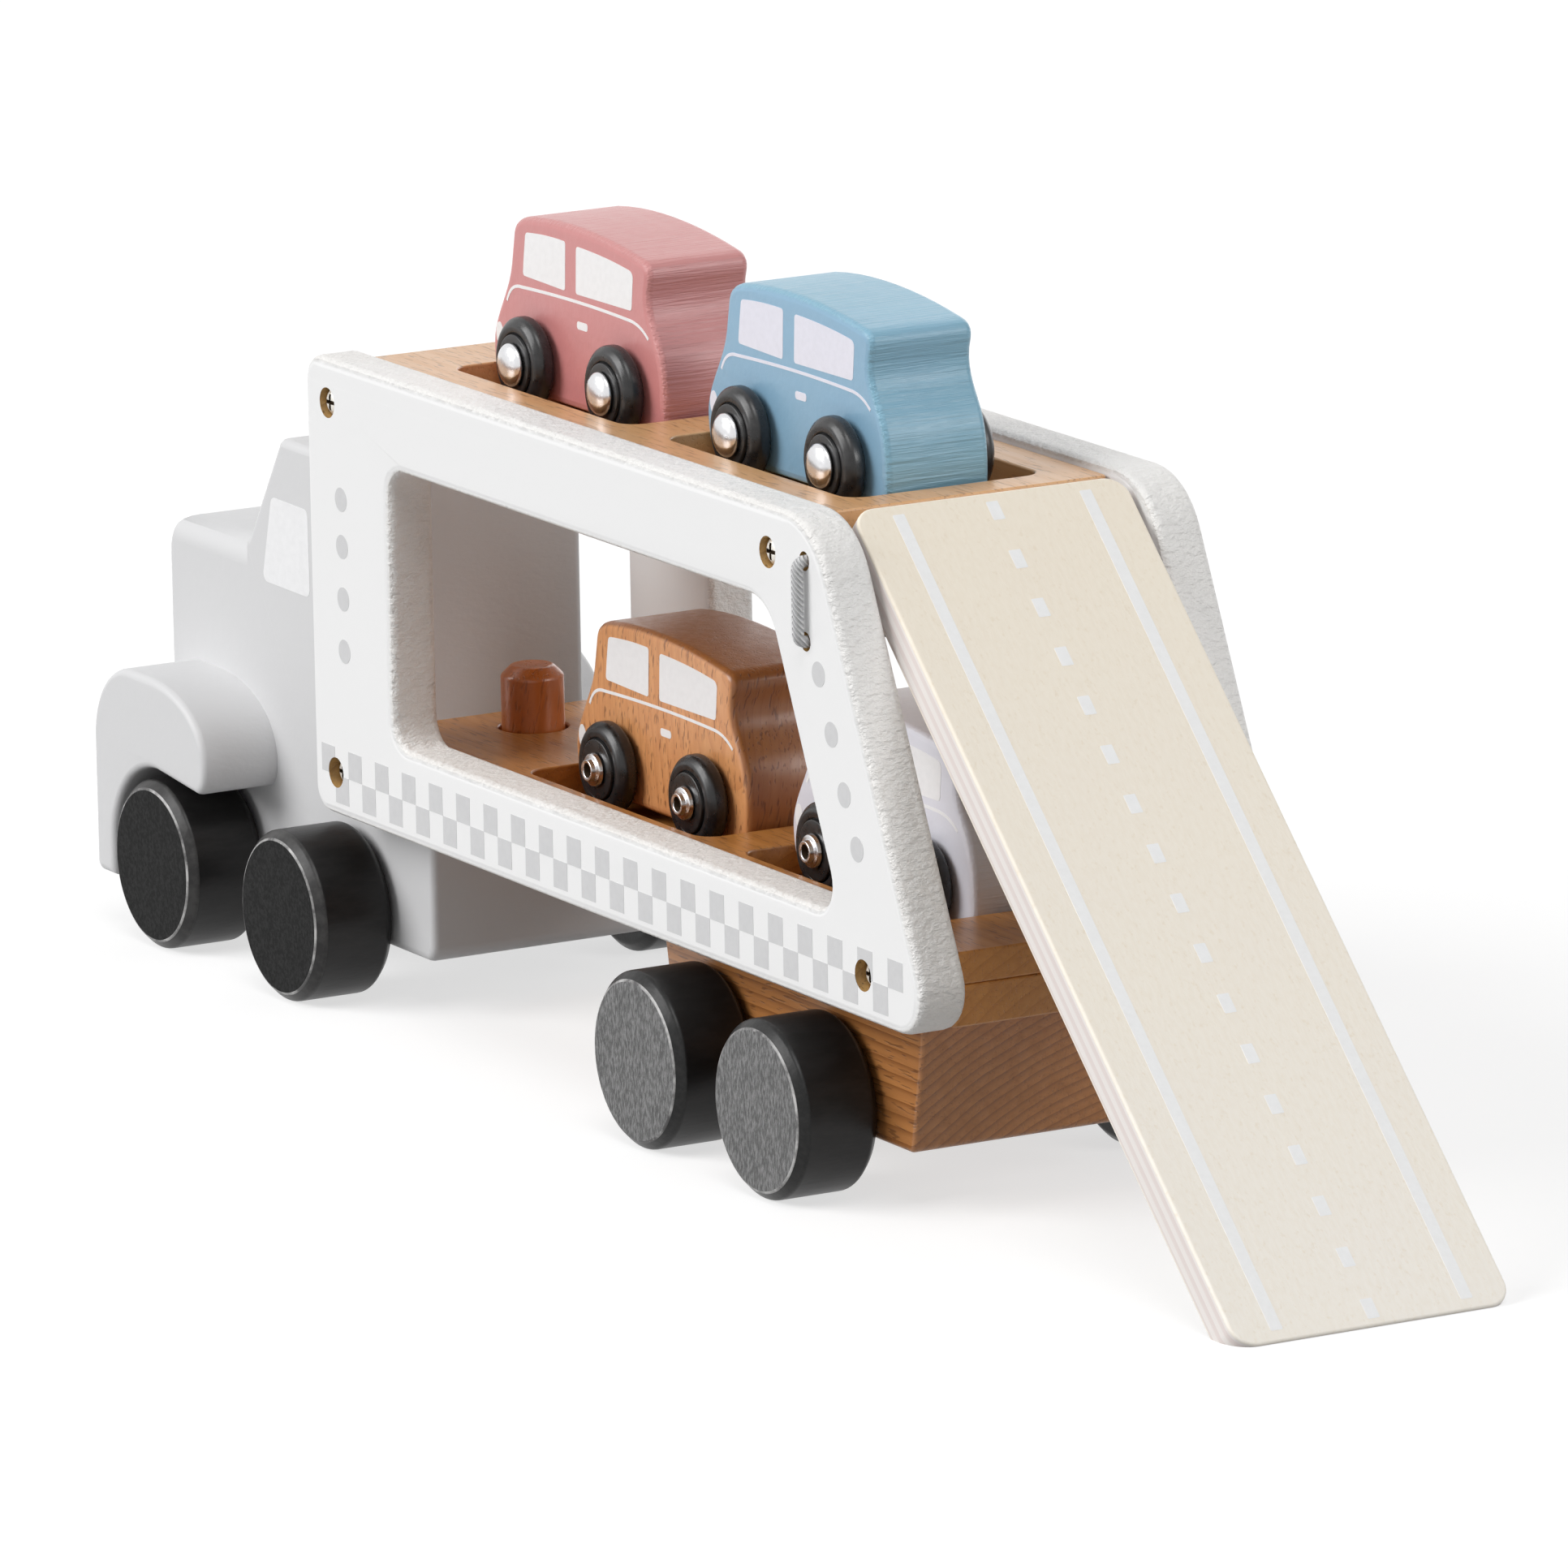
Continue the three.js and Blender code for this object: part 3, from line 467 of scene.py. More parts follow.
def mixed(finish, share, first, second, blend="MIX"):
    """Two colours mixed, each a colour or a socket."""
    first, second = (colour if isinstance(colour, bpy.types.NodeSocket) else (*colour, 1)
                     for colour in (first, second))
    return add_node(finish, "ShaderNodeMix", {0: share, 6: first, 7: second},
                    data_type="RGBA", blend_type=blend).outputs[2]


def bumped(finish, height, depth_mm):
    bump = add_node(finish, "ShaderNodeBump", {
        "Height": height, "Distance": depth_mm * MM, "Strength": 1.0})
    feed(finish, "Normal", bump.outputs[0])


def facing_share(finish, axis):
    """1 on faces that look along an axis, 0 on the others, from the piece's own normal."""
    coordinates = add_node(finish, "ShaderNodeTexCoord")
    parts = add_node(finish, "ShaderNodeSeparateXYZ", {0: coordinates.outputs["Normal"]})
    along = math_node(finish, "ABSOLUTE", parts.outputs[axis])
    return between(finish, along, LOOKS_AWAY, LOOKS_ALONG)


print("a face looks along an axis from", LOOKS_ALONG, "of its normal")

# %% [markdown]
# ## Finish: satin paint
# The panels, the tractor and the cars are sprayed. The paint is nearly even on the faces of a
# board, where it leaves a fine orange peel, and it sinks into the sawn edges, which stay pebbled
# or show saw marks that run across. So the bump is chosen by which way a face looks.

# %% Satin paint
def painted(name, colour, edge_colour, roughness, peel_mm, edge_mm, edge_stretch, coat_weight=0.0):
    finish = new_finish(name, colour, roughness, coat_weight=coat_weight)
    face = facing_share(finish, "Y")
    peel = noise(finish, space(finish), scale=420, detail=3)
    sawn = noise(finish, space(finish, edge_stretch), detail=3, roughness=0.6)
    drift = noise(finish, space(finish), scale=45)
    drift = between(finish, drift, 0.3, 0.7, to_high=0.35)
    sawn_tint = mixed(finish, drift, edge_colour, colour)
    feed(finish, "Base Color", mixed(finish, face, sawn_tint, colour))
    peel_height = math_node(finish, "MULTIPLY", peel, peel_mm / max(edge_mm, peel_mm))
    height = add_node(finish, "ShaderNodeMix", {0: face, 2: sawn, 3: peel_height}).outputs[0]
    bumped(finish, height, max(edge_mm, peel_mm))
    feed(finish, "Roughness", between(finish, peel, 0.2, 0.8, roughness - 0.05, roughness + 0.08))
    return finish


PEBBLED = (900, 480, 900)
SAWN_ACROSS = (1250, 45, 1250)
CAR_COAT = {"roughness": 0.36, "edge_stretch": SAWN_ACROSS, "coat_weight": 0.3}
white_paint = painted("white board paint", shade(244, 244, 244), shade(243, 241, 238),
                      roughness=0.42, peel_mm=0.03, edge_mm=0.75, edge_stretch=PEBBLED)
grey_paint = painted("pale grey paint", shade(217, 217, 218), shade(216, 216, 217),
                     roughness=0.45, peel_mm=0.05, edge_mm=0.06, edge_stretch=PEBBLED)
pink_paint = painted("pink car paint", shade(205, 134, 133), shade(206, 140, 138),
                     peel_mm=0.12, edge_mm=0.40, **CAR_COAT)
blue_paint = painted("blue car paint", shade(135, 175, 202), shade(128, 176, 198),
                     peel_mm=0.12, edge_mm=0.40, **CAR_COAT)
lavender_paint = painted("lavender white car paint", shade(225, 225, 234), shade(226, 226, 234),
                         peel_mm=0.10, edge_mm=0.24, **CAR_COAT)
print("paints:", white_paint.name, grey_paint.name, pink_paint.name, blue_paint.name)

# %% [markdown]
# ## Finish: printed ink
# Checkers, dots, windows and road lines are pad printed: a thin, even film, a little duller than
# the paint round it. It has only a breath of unevenness, so that it isn't a flat cut-out.

# %% Printed ink
INK_SHADE = 0.955


def printed(name, colour):
    finish = new_finish(name, colour, roughness=0.5, specular=0.4)
    grain = noise(finish, space(finish), scale=700, detail=3)
    darker = tuple(INK_SHADE * v for v in colour)
    feed(finish, "Base Color", mixed(finish, between(finish, grain, 0.35, 0.75), colour, darker))
    bumped(finish, grain, depth_mm=0.03)
    return finish


grey_ink = printed("grey print", shade(214, 214, 215))
white_ink = printed("white print", shade(245, 245, 246))
lavender_ink = printed("lavender white print", shade(232, 232, 243))
road_ink = printed("road line print", shade(253, 253, 253))
print("inks:", grey_ink.name, white_ink.name)

# %% [markdown]
# ## Finish: beech
# Beech has faint year rings about the heart of the tree and short dark flecks along the grain.
# Both are made in space: rings about an axis along X show as long lines on the sides of a board
# and as sweeping arcs on its sawn ends, as in a real board, with no seam at the corner.

# %% Lacquered beech
RING_GAP_MM = 2.6
WAVE_UNIT = 2 * math.pi / 20
UPRIGHT = (0.2, 0.48 * math.pi, 0)
LOG_STRETCH = (0.09, 1, 1)
STREAK_STRETCH = (28, 420, 420)
FLECK_STRETCH = (240, 1900, 1900)
END_FLECKS = 0.12
FLECK_SHADE = 0.42
SOAKED_TINT = (1.0, 0.84, 0.64)


def beech(name, pale, dark, heart, roughness=0.36, flecks=0.55, rings=0.5, turn=(0, 0, 0),
          gap=RING_GAP_MM, sawn=1.0, end="X"):
    """heart is the middle of the tree, in metres; sawn darkens the edges; the grain runs to end."""
    finish = new_finish(name, pale, roughness, coat_weight=0.3)
    away = tuple(-v for v in heart)
    log = space(finish, LOG_STRETCH, away, turn)
    ring = add_node(finish, "ShaderNodeTexWave", {
        "Vector": log, "Scale": WAVE_UNIT / (gap * MM), "Distortion": 2.2, "Detail": 2.0,
        "Detail Scale": 0.45, "Detail Roughness": 0.55},
        wave_type="RINGS", rings_direction="X", wave_profile="SAW").outputs["Fac"]
    streak = noise(finish, space(finish, STREAK_STRETCH, rotation=turn), detail=4, roughness=0.6)
    fleck = noise(finish, space(finish, FLECK_STRETCH, rotation=turn), detail=1, roughness=0.4)
    fleck = between(finish, fleck, 0.60, 0.68)
    ring = math_node(finish, "POWER", ring, 2.0)
    ring_share = math_node(finish, "MULTIPLY", ring, rings)
    streak_share = between(finish, streak, 0.35, 0.7, to_high=0.45)
    share = math_node(finish, "MAXIMUM", ring_share, streak_share)
    wood = mixed(finish, share, pale, dark)
    deep = tuple(FLECK_SHADE * v for v in dark)
    fleck_strength = between(finish, facing_share(finish, end), 0, 1, flecks, END_FLECKS)
    fleck_share = math_node(finish, "MULTIPLY", fleck, fleck_strength)
    flecked = mixed(finish, fleck_share, wood, deep)
    if sawn < 1:
        tint = tuple(sawn * v for v in SOAKED_TINT)
        soaked = mixed(finish, 1.0, flecked, tint, "MULTIPLY")
        flecked = mixed(finish, facing_share(finish, "Y"), soaked, flecked)
    feed(finish, "Base Color", flecked)
    height = math_node(finish, "SUBTRACT", streak, math_node(finish, "MULTIPLY", fleck, 0.8))
    bumped(finish, height, depth_mm=0.06)
    feed(finish, "Roughness", between(finish, streak, 0.3, 0.7, roughness, roughness + 0.14))
    return finish


deck_wood = beech("pale beech deck", shade(219, 171, 120), shade(196, 138, 82),
                  (0, 0.01, 0.05), roughness=0.28, rings=0.3)
lower_wood = beech("honey beech deck", shade(200, 138, 70), shade(158, 95, 38),
                   (0, 0.02, -0.02), roughness=0.28)
bogie_wood = beech("bogie beech", shade(190, 128, 72), shade(126, 74, 32),
                   (0, 0.03, -0.055), rings=0.85, gap=1.9)
peg_wood = beech("reddish peg beech", shade(190, 106, 48), shade(150, 76, 28),
                 (0, 0.03, -0.1), roughness=0.24, flecks=0.3, turn=UPRIGHT, end="Z")
axle_wood = beech("dowel beech", shade(214, 172, 128), shade(188, 138, 92), (0, 0.0, 0.02))
car_wood = beech("plain car beech", shade(228, 164, 108), shade(190, 118, 68),
                 (0, -0.05, 0.01), roughness=0.28, flecks=0.6, turn=UPRIGHT, gap=1.8, sawn=0.52,
                 end="Z")
hole_wood = beech("bare drilled wood", shade(190, 152, 92), shade(120, 84, 38), (0, 0, 0),
                  roughness=0.6)
print("woods:", deck_wood.name, lower_wood.name, bogie_wood.name, peg_wood.name, car_wood.name)

# %% [markdown]
# ## Finish: the ramp's plywood
# The ramp is birch plywood: a cream face with fine specks, and thin layers of pinker wood that
# show on its long edges. The face is painted paler towards the lower tip, as painted light. The
# pattern is turned by the ramp's slope, so that it lies in the board's own plane.

# %% Birch plywood
ramp_high = box_mm("ramp")[1]
RAMP_LENGTH = 178.6
RAMP_THICKNESS = 7.0
RAMP_HINGE_INSET = 7.0
PLY_LAYER, PLY_SKIN, PLY_SKIN_BLUR = 2.4, 0.5, 0.2
PLY_FIBRE, PLY_SPECK = (420, 1100, 1100), (900, 1300, 1300)
PLY_CLOUD, PLY_STREAK = 1.06, (0.84, 0.78, 0.68)
hinge = next(joint for joint in frame["joints"] if joint["name"] == "ramp_fold")
hinge_place = Vector(hinge["pos_m"])
hinge_x, hinge_z = (hinge_place.x - home_x) / MM, hinge_place.z / MM
reach = RAMP_LENGTH - RAMP_HINGE_INSET
tip_run = (ramp_high.x * MM + home_x - hinge_place.x) / MM
ramp_radius = math.hypot(reach, RAMP_THICKNESS / 2)
ramp_slope = math.acos(tip_run / ramp_radius) + math.atan2(RAMP_THICKNESS / 2, reach)
print("ramp slope", round(math.degrees(ramp_slope), 2), "degrees")


def plywood(name, face, tip, core, layer):
    finish = new_finish(name, face, roughness=0.5, specular=0.4)
    turn = (0, -ramp_slope, 0)
    hinge_line = Matrix.Rotation(-ramp_slope, 3, "Y") @ hinge_place
    parts = add_node(finish, "ShaderNodeSeparateXYZ", {0: space(finish, rotation=turn)})
    depth = math_node(finish, "SUBTRACT", parts.outputs["Z"], hinge_line.z)
    layer_count = math_node(finish, "MULTIPLY", depth, 1 / (PLY_LAYER * MM))
    in_layer = math_node(finish, "FLOORED_MODULO", layer_count, 1.0)
    edge = between(finish, in_layer, 0.45, 0.6, to_high=0.8)
    shell = math_node(finish, "ABSOLUTE", depth)
    core_half = (RAMP_THICKNESS / 2 - PLY_SKIN) * MM
    inside = between(finish, shell, core_half, core_half - PLY_SKIN_BLUR * MM)
    fine = noise(finish, space(finish, PLY_FIBRE, rotation=turn), detail=3)
    speck = noise(finish, space(finish, PLY_SPECK, rotation=turn))
    speck = between(finish, speck, 0.6, 0.75)
    clouds = noise(finish, space(finish, rotation=turn), scale=30)
    clouds = between(finish, clouds, 0.3, 0.75, to_high=0.3)
    pale = tuple(min(1.0, PLY_CLOUD * v) for v in face)
    # painted light: the face grows paler towards the lower tip
    tip_light_share = between(finish, parts.outputs["X"], hinge_line.x,
                        hinge_line.x + RAMP_LENGTH * MM, to_high=0.7)
    lit_towards_tip = mixed(finish, tip_light_share, face, tip)
    base = mixed(finish, clouds, lit_towards_tip, pale)
    dark = tuple(v * t for v, t in zip(face, PLY_STREAK))
    streaked = mixed(finish, between(finish, fine, 0.4, 0.8, to_high=0.16), base, dark)
    specked = mixed(finish, math_node(finish, "MULTIPLY", speck, 0.3), streaked, dark)
    banded = mixed(finish, edge, core, layer)
    feed(finish, "Base Color", mixed(finish, inside, specked, banded))
    bumped(finish, fine, depth_mm=0.05)
    return finish


# the second colour is the painted light at the lower tip
ramp_ply = plywood("birch ply", shade(251, 241, 224), shade(254, 251, 246), shade(240, 234, 230),
                   shade(228, 216, 212))
print("ply:", ramp_ply.name)

# %% [markdown]
# ## Finish: black wheels
# The road wheels are dipped in black. The tread is smooth and satin. The sawn outer faces drink
# the paint and dry leathery, most of all on the trailer, whose faces are also painted paler grey
# as a painted sheen of the left lamp. A thin pale ring where each face meets its chamfer is a
# painted highlight, and the chamfers are worn paler in patches. Each zone is a finish of its own,
# given to the faces of that zone.

# %% Black paint on wheels
def wheel_black(name, colour, worn, roughness, bump_mm, grain, worn_share, specular=0.3):
    finish = new_finish(name, colour, roughness, specular=specular)
    rough = noise(finish, space(finish, grain), detail=4, roughness=0.62)
    specks = noise(finish, space(finish), scale=1500)
    specks = between(finish, specks, 0.66, 0.72, to_high=0.5)
    wear = between(finish, rough, 0.42, 0.62, to_high=worn_share)
    share = math_node(finish, "MAXIMUM", wear, math_node(finish, "MULTIPLY", specks, worn_share))
    feed(finish, "Base Color", mixed(finish, share, colour, worn))
    bumped(finish, rough, bump_mm)
    return finish


tread_black = wheel_black(
    "black tread", shade(26, 25, 25), shade(46, 44, 44),
    roughness=0.34, bump_mm=0.05, grain=(500, 160, 500), worn_share=0.3)
tractor_face = wheel_black(
    "black wheel face", shade(14, 14, 14), shade(62, 62, 62),
    roughness=0.55, bump_mm=0.08, grain=(1300, 1300, 1300), worn_share=0.3, specular=0.08)
# painted sheen: the same black paint as on the tractor, made paler grey with lighter wrinkles for the lamp's shine
trailer_face_painted_sheen = wheel_black(
    "leathery wheel face with painted sheen", shade(84, 84, 84), shade(146, 146, 146),
    roughness=0.45, bump_mm=0.5, grain=(2100, 2100, 750), worn_share=0.8)
chamfer_black = wheel_black(
    "worn chamfer", shade(40, 39, 39), shade(76, 75, 74),
    roughness=0.36, bump_mm=0.04, grain=(300, 300, 300), worn_share=0.5)
# painted highlight: a pale ring for the light caught by the rounded rim between face and chamfer
painted_highlight_ring = wheel_black(
    "painted highlight ring", shade(86, 85, 85), shade(196, 195, 194),
    roughness=0.4, bump_mm=0.03, grain=(170, 170, 170), worn_share=1.0)
rim_black = wheel_black(
    "black rim", shade(14, 14, 14), shade(50, 49, 48),
    roughness=0.34, bump_mm=0.05, grain=(700, 700, 700), worn_share=0.35)
print("wheel finishes:", tread_black.name, tractor_face.name, trailer_face_painted_sheen.name, chamfer_black.name)

# %% [markdown]
# ## Finish: metal and plastic
# The car axles are rivets with bright plated caps, the screws are zinc plated, and the car wheels
# are moulded in glossy black plastic. Fine noise in the roughness keeps their shine from being
# perfect.

# %% Metal and plastic
SKIN_SHINE = 1.7


def plated(name, colour, roughness, metallic=1.0):
    finish = new_finish(name, colour, roughness, metallic=metallic)
    scratch = noise(finish, space(finish), scale=1600, detail=3)
    feed(finish, "Roughness", between(finish, scratch, 0.3, 0.7, roughness, roughness + 0.12))
    bumped(finish, scratch, depth_mm=0.005)
    return finish


def moulded(name, colour, roughness):
    finish = new_finish(name, colour, roughness)
    skin = noise(finish, space(finish), scale=600, detail=3)
    lighter = tuple(SKIN_SHINE * v for v in colour)
    feed(finish, "Base Color", mixed(finish, between(finish, skin, 0.45, 0.75), colour, lighter))
    feed(finish, "Roughness", between(finish, skin, 0.3, 0.7, roughness - 0.06, roughness + 0.08))
    bumped(finish, skin, depth_mm=0.02)
    return finish


cap_chrome = plated("bright axle cap", shade(226, 226, 228), roughness=0.16)
screw_zinc = plated("zinc plated screw", shade(236, 232, 224), roughness=0.36, metallic=0.45)
# painted shade: dark brown for the screws' cross recesses and the rivets' hollow ends
recess_painted_shade = plated("painted shade in recesses", shade(70, 54, 36), roughness=0.6, metallic=0.3)
wheel_plastic = moulded("glossy black plastic", shade(30, 30, 31), roughness=0.3)
print("metal:", cap_chrome.name, screw_zinc.name, "plastic:", wheel_plastic.name)

# %% [markdown]
# ## Finish: braided elastic
# The elastic is braided, and its strands meet in a row of chevrons. A sine runs along the cord,
# and is shifted by the distance from the cord's middle line, so that each strand slants to both
# sides. The grooves between the strands are painted darker, as painted shade.

# %% Braided elastic
STRAND_MM = 1.05


def braided(name, colour, groove):
    finish = new_finish(name, colour, roughness=0.8, specular=0.3)
    parts = add_node(finish, "ShaderNodeSeparateXYZ", {0: space(finish)})
    from_middle = math_node(finish, "SUBTRACT", parts.outputs["X"], hinge_place.x)
    slant = math_node(finish, "ADD", parts.outputs["Z"], math_node(finish, "ABSOLUTE", from_middle))
    along = math_node(finish, "ADD", slant, parts.outputs["Y"])
    turns = math_node(finish, "MULTIPLY", along, 2 * math.pi / (STRAND_MM * MM))
    strand = between(finish, math_node(finish, "SINE", turns), -1, 1)
    # painted shade: the grooves between strands take the darker colour
    feed(finish, "Base Color", mixed(finish, strand, groove, colour))
    bumped(finish, strand, depth_mm=0.3)
    return finish


# the second colour is painted shade in the grooves
elastic_braid = braided("grey braid", shade(240, 240, 240), shade(196, 196, 198))
print("elastic:", elastic_braid.name)

# %% [markdown]
# ## Side panels
# Each side of the trailer is a white board with an upright front, a leaning rear and a window of
# the same slant. Cut from a flat curve, outline and window share one soft edge. The screw holes
# and the two elastic holes are then drilled, and show bare wood inside.

# %% Side panels
HINGE_FROM_REAR = 2.7
PANEL_TOP_LENGTH = hinge_x + HINGE_FROM_REAR
PANEL_SLANT = math.radians(24.5)
PANEL_EDGE = 1.8
FRONT_CORNER, FOOT_CORNER, TOP_CORNER = 5, 8, 16
WINDOW_FRONT_CORNER, WINDOW_FOOT_CORNER, WINDOW_TOP_CORNER = 5.5, 5, 10
FRONT_POST, REAR_POST = 32.0, 25.0
TOP_RAIL, BOTTOM_RAIL = 17.3, 17.5
SCREW_HOLE_RADIUS = 2.9
CORD_HOLE_RADIUS = 1.75
CORD_HOLE_DROP = 14.5


def panel_rear(z):
    return PANEL_TOP_LENGTH + (panel_top - z) * math.tan(PANEL_SLANT)


def panel_outlines():
    sill, head = panel_bottom + BOTTOM_RAIL, panel_top - TOP_RAIL
    outline = rounded([
        (0, panel_bottom, FRONT_CORNER), (panel_rear(panel_bottom), panel_bottom, FOOT_CORNER),
        (PANEL_TOP_LENGTH, panel_top, TOP_CORNER), (0, panel_top, FRONT_CORNER)])
    window = rounded([
        (FRONT_POST, sill, WINDOW_FRONT_CORNER),
        (panel_rear(sill) - REAR_POST, sill, WINDOW_FOOT_CORNER),
        (panel_rear(head) - REAR_POST, head, WINDOW_TOP_CORNER),
        (FRONT_POST, head, WINDOW_FRONT_CORNER)])
    return [outline, window]


def screw_places():
    """Where the four screws of a panel go in, by name, as x and z."""
    places = {}
    for spot in ("upper_front", "upper_rear", "lower_front", "lower_rear"):
        low, high = box_mm(f"left_{spot}_screw")
        places[spot] = ((low.x + high.x) / 2, (low.z + high.z) / 2)
    return places


screw_bits = [circle(x, z, SCREW_HOLE_RADIUS) for x, z in screw_places().values()]
cord_bits = [circle(hinge_x, z, CORD_HOLE_RADIUS) for z in (hinge_z, hinge_z - CORD_HOLE_DROP)]
for word, side in SIDES.items():
    thickness = span(side, panel_inner, panel_outer)
    panel = upright_board(f"{word}_panel", panel_outlines(), *thickness, PANEL_EDGE)
    coat(panel, white_paint)
    drill = upright_board("drill", screw_bits + cord_bits,
                          *span(side, panel_inner - OVERRUN, panel_outer + OVERRUN))
    coat(drill, hole_wood)
    cut(panel, drill)
    stands_for(panel, f"{word}_side_panel")
    print(panel.name, len(panel.data.polygons), "faces")

# %% [markdown]
# ## Prints on the panels
# A border of two rows of grey squares runs along the bottom of each panel, and four dots stand
# near each end. They are thin films that lie on the paint, cut from one flat curve for each panel.

# %% Checker border and dots
FILM = 0.05
CHECK = 5.3
CHECK_START, CHECK_TOP = 3.4, 50.9
CHECK_COLUMNS = 41
CHECK_GAP = 0.04
DOT_RADIUS = 2.3
FRONT_DOTS = [(13.6, 99), (13.6, 90), (13.6, 80), (13.6, 70)]
REAR_DOTS = [(192.7, 97.7), (196.9, 87.6), (201.1, 77.5), (205.3, 68.5)]


def check_squares():
    squares = []
    for column in range(CHECK_COLUMNS):
        x = CHECK_START + column * CHECK
        z = CHECK_TOP - CHECK * (column % 2)
        left, right = x + CHECK_GAP, x + CHECK - CHECK_GAP
        corners = (left, z - CHECK), (right, z - CHECK), (right, z), (left, z)
        squares.append([Vector(corner) for corner in corners])
    return squares


def film(name, outlines, side, face):
    """A print on a face that looks to one side, face mm from the middle plane."""
    return upright_board(name, outlines, *span(side, face - FILM, face + FILM))


for word, side in SIDES.items():
    checks = film(f"{word}_panel_prints", check_squares(), side, panel_outer)
    rounds = [circle(x, z, DOT_RADIUS) for x, z in FRONT_DOTS + REAR_DOTS]
    dots = film("dots", rounds, side, panel_outer)
    prints = joined(f"{word}_panel_prints", checks, dots)
    cut(prints, upright_board("drill", screw_bits,
                              *span(side, panel_outer - OVERRUN, panel_outer + OVERRUN)))
    coat(prints, grey_ink)
    goes_with(prints, f"{word}_side_panel")
    print(prints.name, len(prints.data.polygons), "faces")

# %% [markdown]
# ## Tractor: chassis and axle holes
# The chassis is one planed block with its long edges eased. It could be a bevelled cube, but as an
# outline with a thickness its lower corners can be rounder than its upper ones, as on the real
# block. The axle holes and the seat of the hitch peg are drilled afterwards.

# %% Chassis
BLOCK_EDGE = 1.6
BLOCK_CORNER, JOINT_CORNER, BLOCK_FOOT_CORNER = 2.4, 1.7, 3
AXLE_HEIGHT = 16.4
AXLE_BORE = 3.4
PEG_X, PEG_SEAT_RADIUS, PEG_HOLE_RADIUS = 15.0, 6.3, 6.6
PEG_SEAT_DEPTH = 18.3
chassis_low, chassis_high = box_mm("tractor_chassis")
block_side = chassis_high.y


def axle_x(name):
    low, high = box_mm(f"{name}_axle")
    return (low.x + high.x) / 2


def bored(piece, axles, radius, height, y_low, y_high):
    """Axle holes straight through a block."""
    drill = upright_board("drill", [circle(x, height, radius) for x in axles],
                          y_low - OVERRUN, y_high + OVERRUN)
    coat(drill, hole_wood)
    return cut(piece, drill)


chassis = upright_board("chassis", [rounded([
    (chassis_low.x, chassis_low.z, BLOCK_FOOT_CORNER),
    (chassis_high.x, chassis_low.z, BLOCK_FOOT_CORNER),
    (chassis_high.x, chassis_high.z, BLOCK_CORNER),
    (chassis_low.x, chassis_high.z, JOINT_CORNER)])],
    -block_side, block_side, BLOCK_EDGE)
coat(chassis, grey_paint)
tractor_axles = [axle_x("tractor_front"), axle_x("tractor_rear")]
bored(chassis, tractor_axles, AXLE_BORE, AXLE_HEIGHT, -block_side, block_side)
peg_drill = level_board("drill", [circle(PEG_X, 0, PEG_SEAT_RADIUS)],
                        chassis_high.z - PEG_SEAT_DEPTH, chassis_high.z + 2 * OVERRUN)
coat(peg_drill, hole_wood)
cut(chassis, peg_drill)
stands_for(chassis, "tractor_chassis")
print(chassis.name, len(chassis.data.polygons), "faces, axles at",
      [round(x, 1) for x in tractor_axles])

# %% [markdown]
# ## Tractor: cab
# The cab is sawn from one thick block: a bonnet with a round nose, a leaning windscreen and a flat
# roof. The long upper edges of the bonnet are planed rounder than the rest. That is a cut across
# the toy, so a second board, standing crosswise, takes them off. The joint with the chassis is
# filled and painted over, so the cab reaches down into the chassis until their round edges cancel
# out. The side windows are white prints.

# %% Cab
BONNET_TOP, BONNET_LENGTH, SCREEN_RUN = 80.0, 33.1, 14.3
BONNET_NOSE, BONNET_ROUNDING = 7.5, 5.2
PANE = [(-40.2, 73.1), (-20.9, 72.9), (-21.1, 89.8), (-35.8, 90.0)]
PANE_CORNER = 1.6
cab_low, cab_high = box_mm("cab")


def cross_board(name, outlines, x_low, x_high):
    """A board standing across the toy: outlines in y and z, thickness along."""
    piece = flat_board(name, outlines, x_high - x_low, 0.0)
    piece.rotation_euler = (math.pi / 2, 0, math.pi / 2)
    piece.location = place((x_low + x_high) / 2, 0, 0)
    settle(piece)
    tidy_mesh(piece)
    return piece


def arc(x, z, radius, start, end, steps=2 * ARC_STEPS):
    """Points on an arc, its angles in degrees."""
    turns = [math.radians(start + (end - start) * k / steps) for k in range(steps + 1)]
    return [Vector((x + radius * math.cos(t), z + radius * math.sin(t))) for t in turns]


screen_foot = cab_low.x + BONNET_LENGTH
cab_foot = chassis_high.z - 2 * BLOCK_EDGE
cab = upright_board("cab_block", [rounded([
    (cab_low.x, cab_foot, JOINT_CORNER), (cab_high.x, cab_foot, JOINT_CORNER),
    (cab_high.x, cab_high.z, BLOCK_CORNER), (screen_foot + SCREEN_RUN, cab_high.z, BLOCK_CORNER),
    (screen_foot, BONNET_TOP, BLOCK_CORNER), (cab_low.x, BONNET_TOP, BONNET_NOSE)])],
    -block_side, block_side, BLOCK_EDGE)
coat(cab, grey_paint)
for side in (LEFT, RIGHT):
    middle = block_side - BONNET_ROUNDING
    waste = arc(middle, BONNET_TOP - BONNET_ROUNDING, BONNET_ROUNDING, 90, 0)
    beside, above = block_side + 2 * OVERRUN, BONNET_TOP + 2 * OVERRUN
    waste += [Vector((beside, BONNET_TOP - BONNET_ROUNDING)), Vector((beside, above)),
              Vector((middle, above))]
    waste = [Vector((side * p.x, p.y)) for p in waste]
    plane_iron = cross_board("plane iron", [waste], cab_low.x - 2 * OVERRUN, screen_foot)
    coat(plane_iron, grey_paint)
    cut(cab, plane_iron)
stands_for(cab, "cab")
for word, side in SIDES.items():
    outline = rounded([(x, z, PANE_CORNER) for x, z in PANE])
    pane = film(f"{word}_cab_window", [outline], side, block_side)
    coat(pane, white_ink)
    goes_with(pane, "cab")
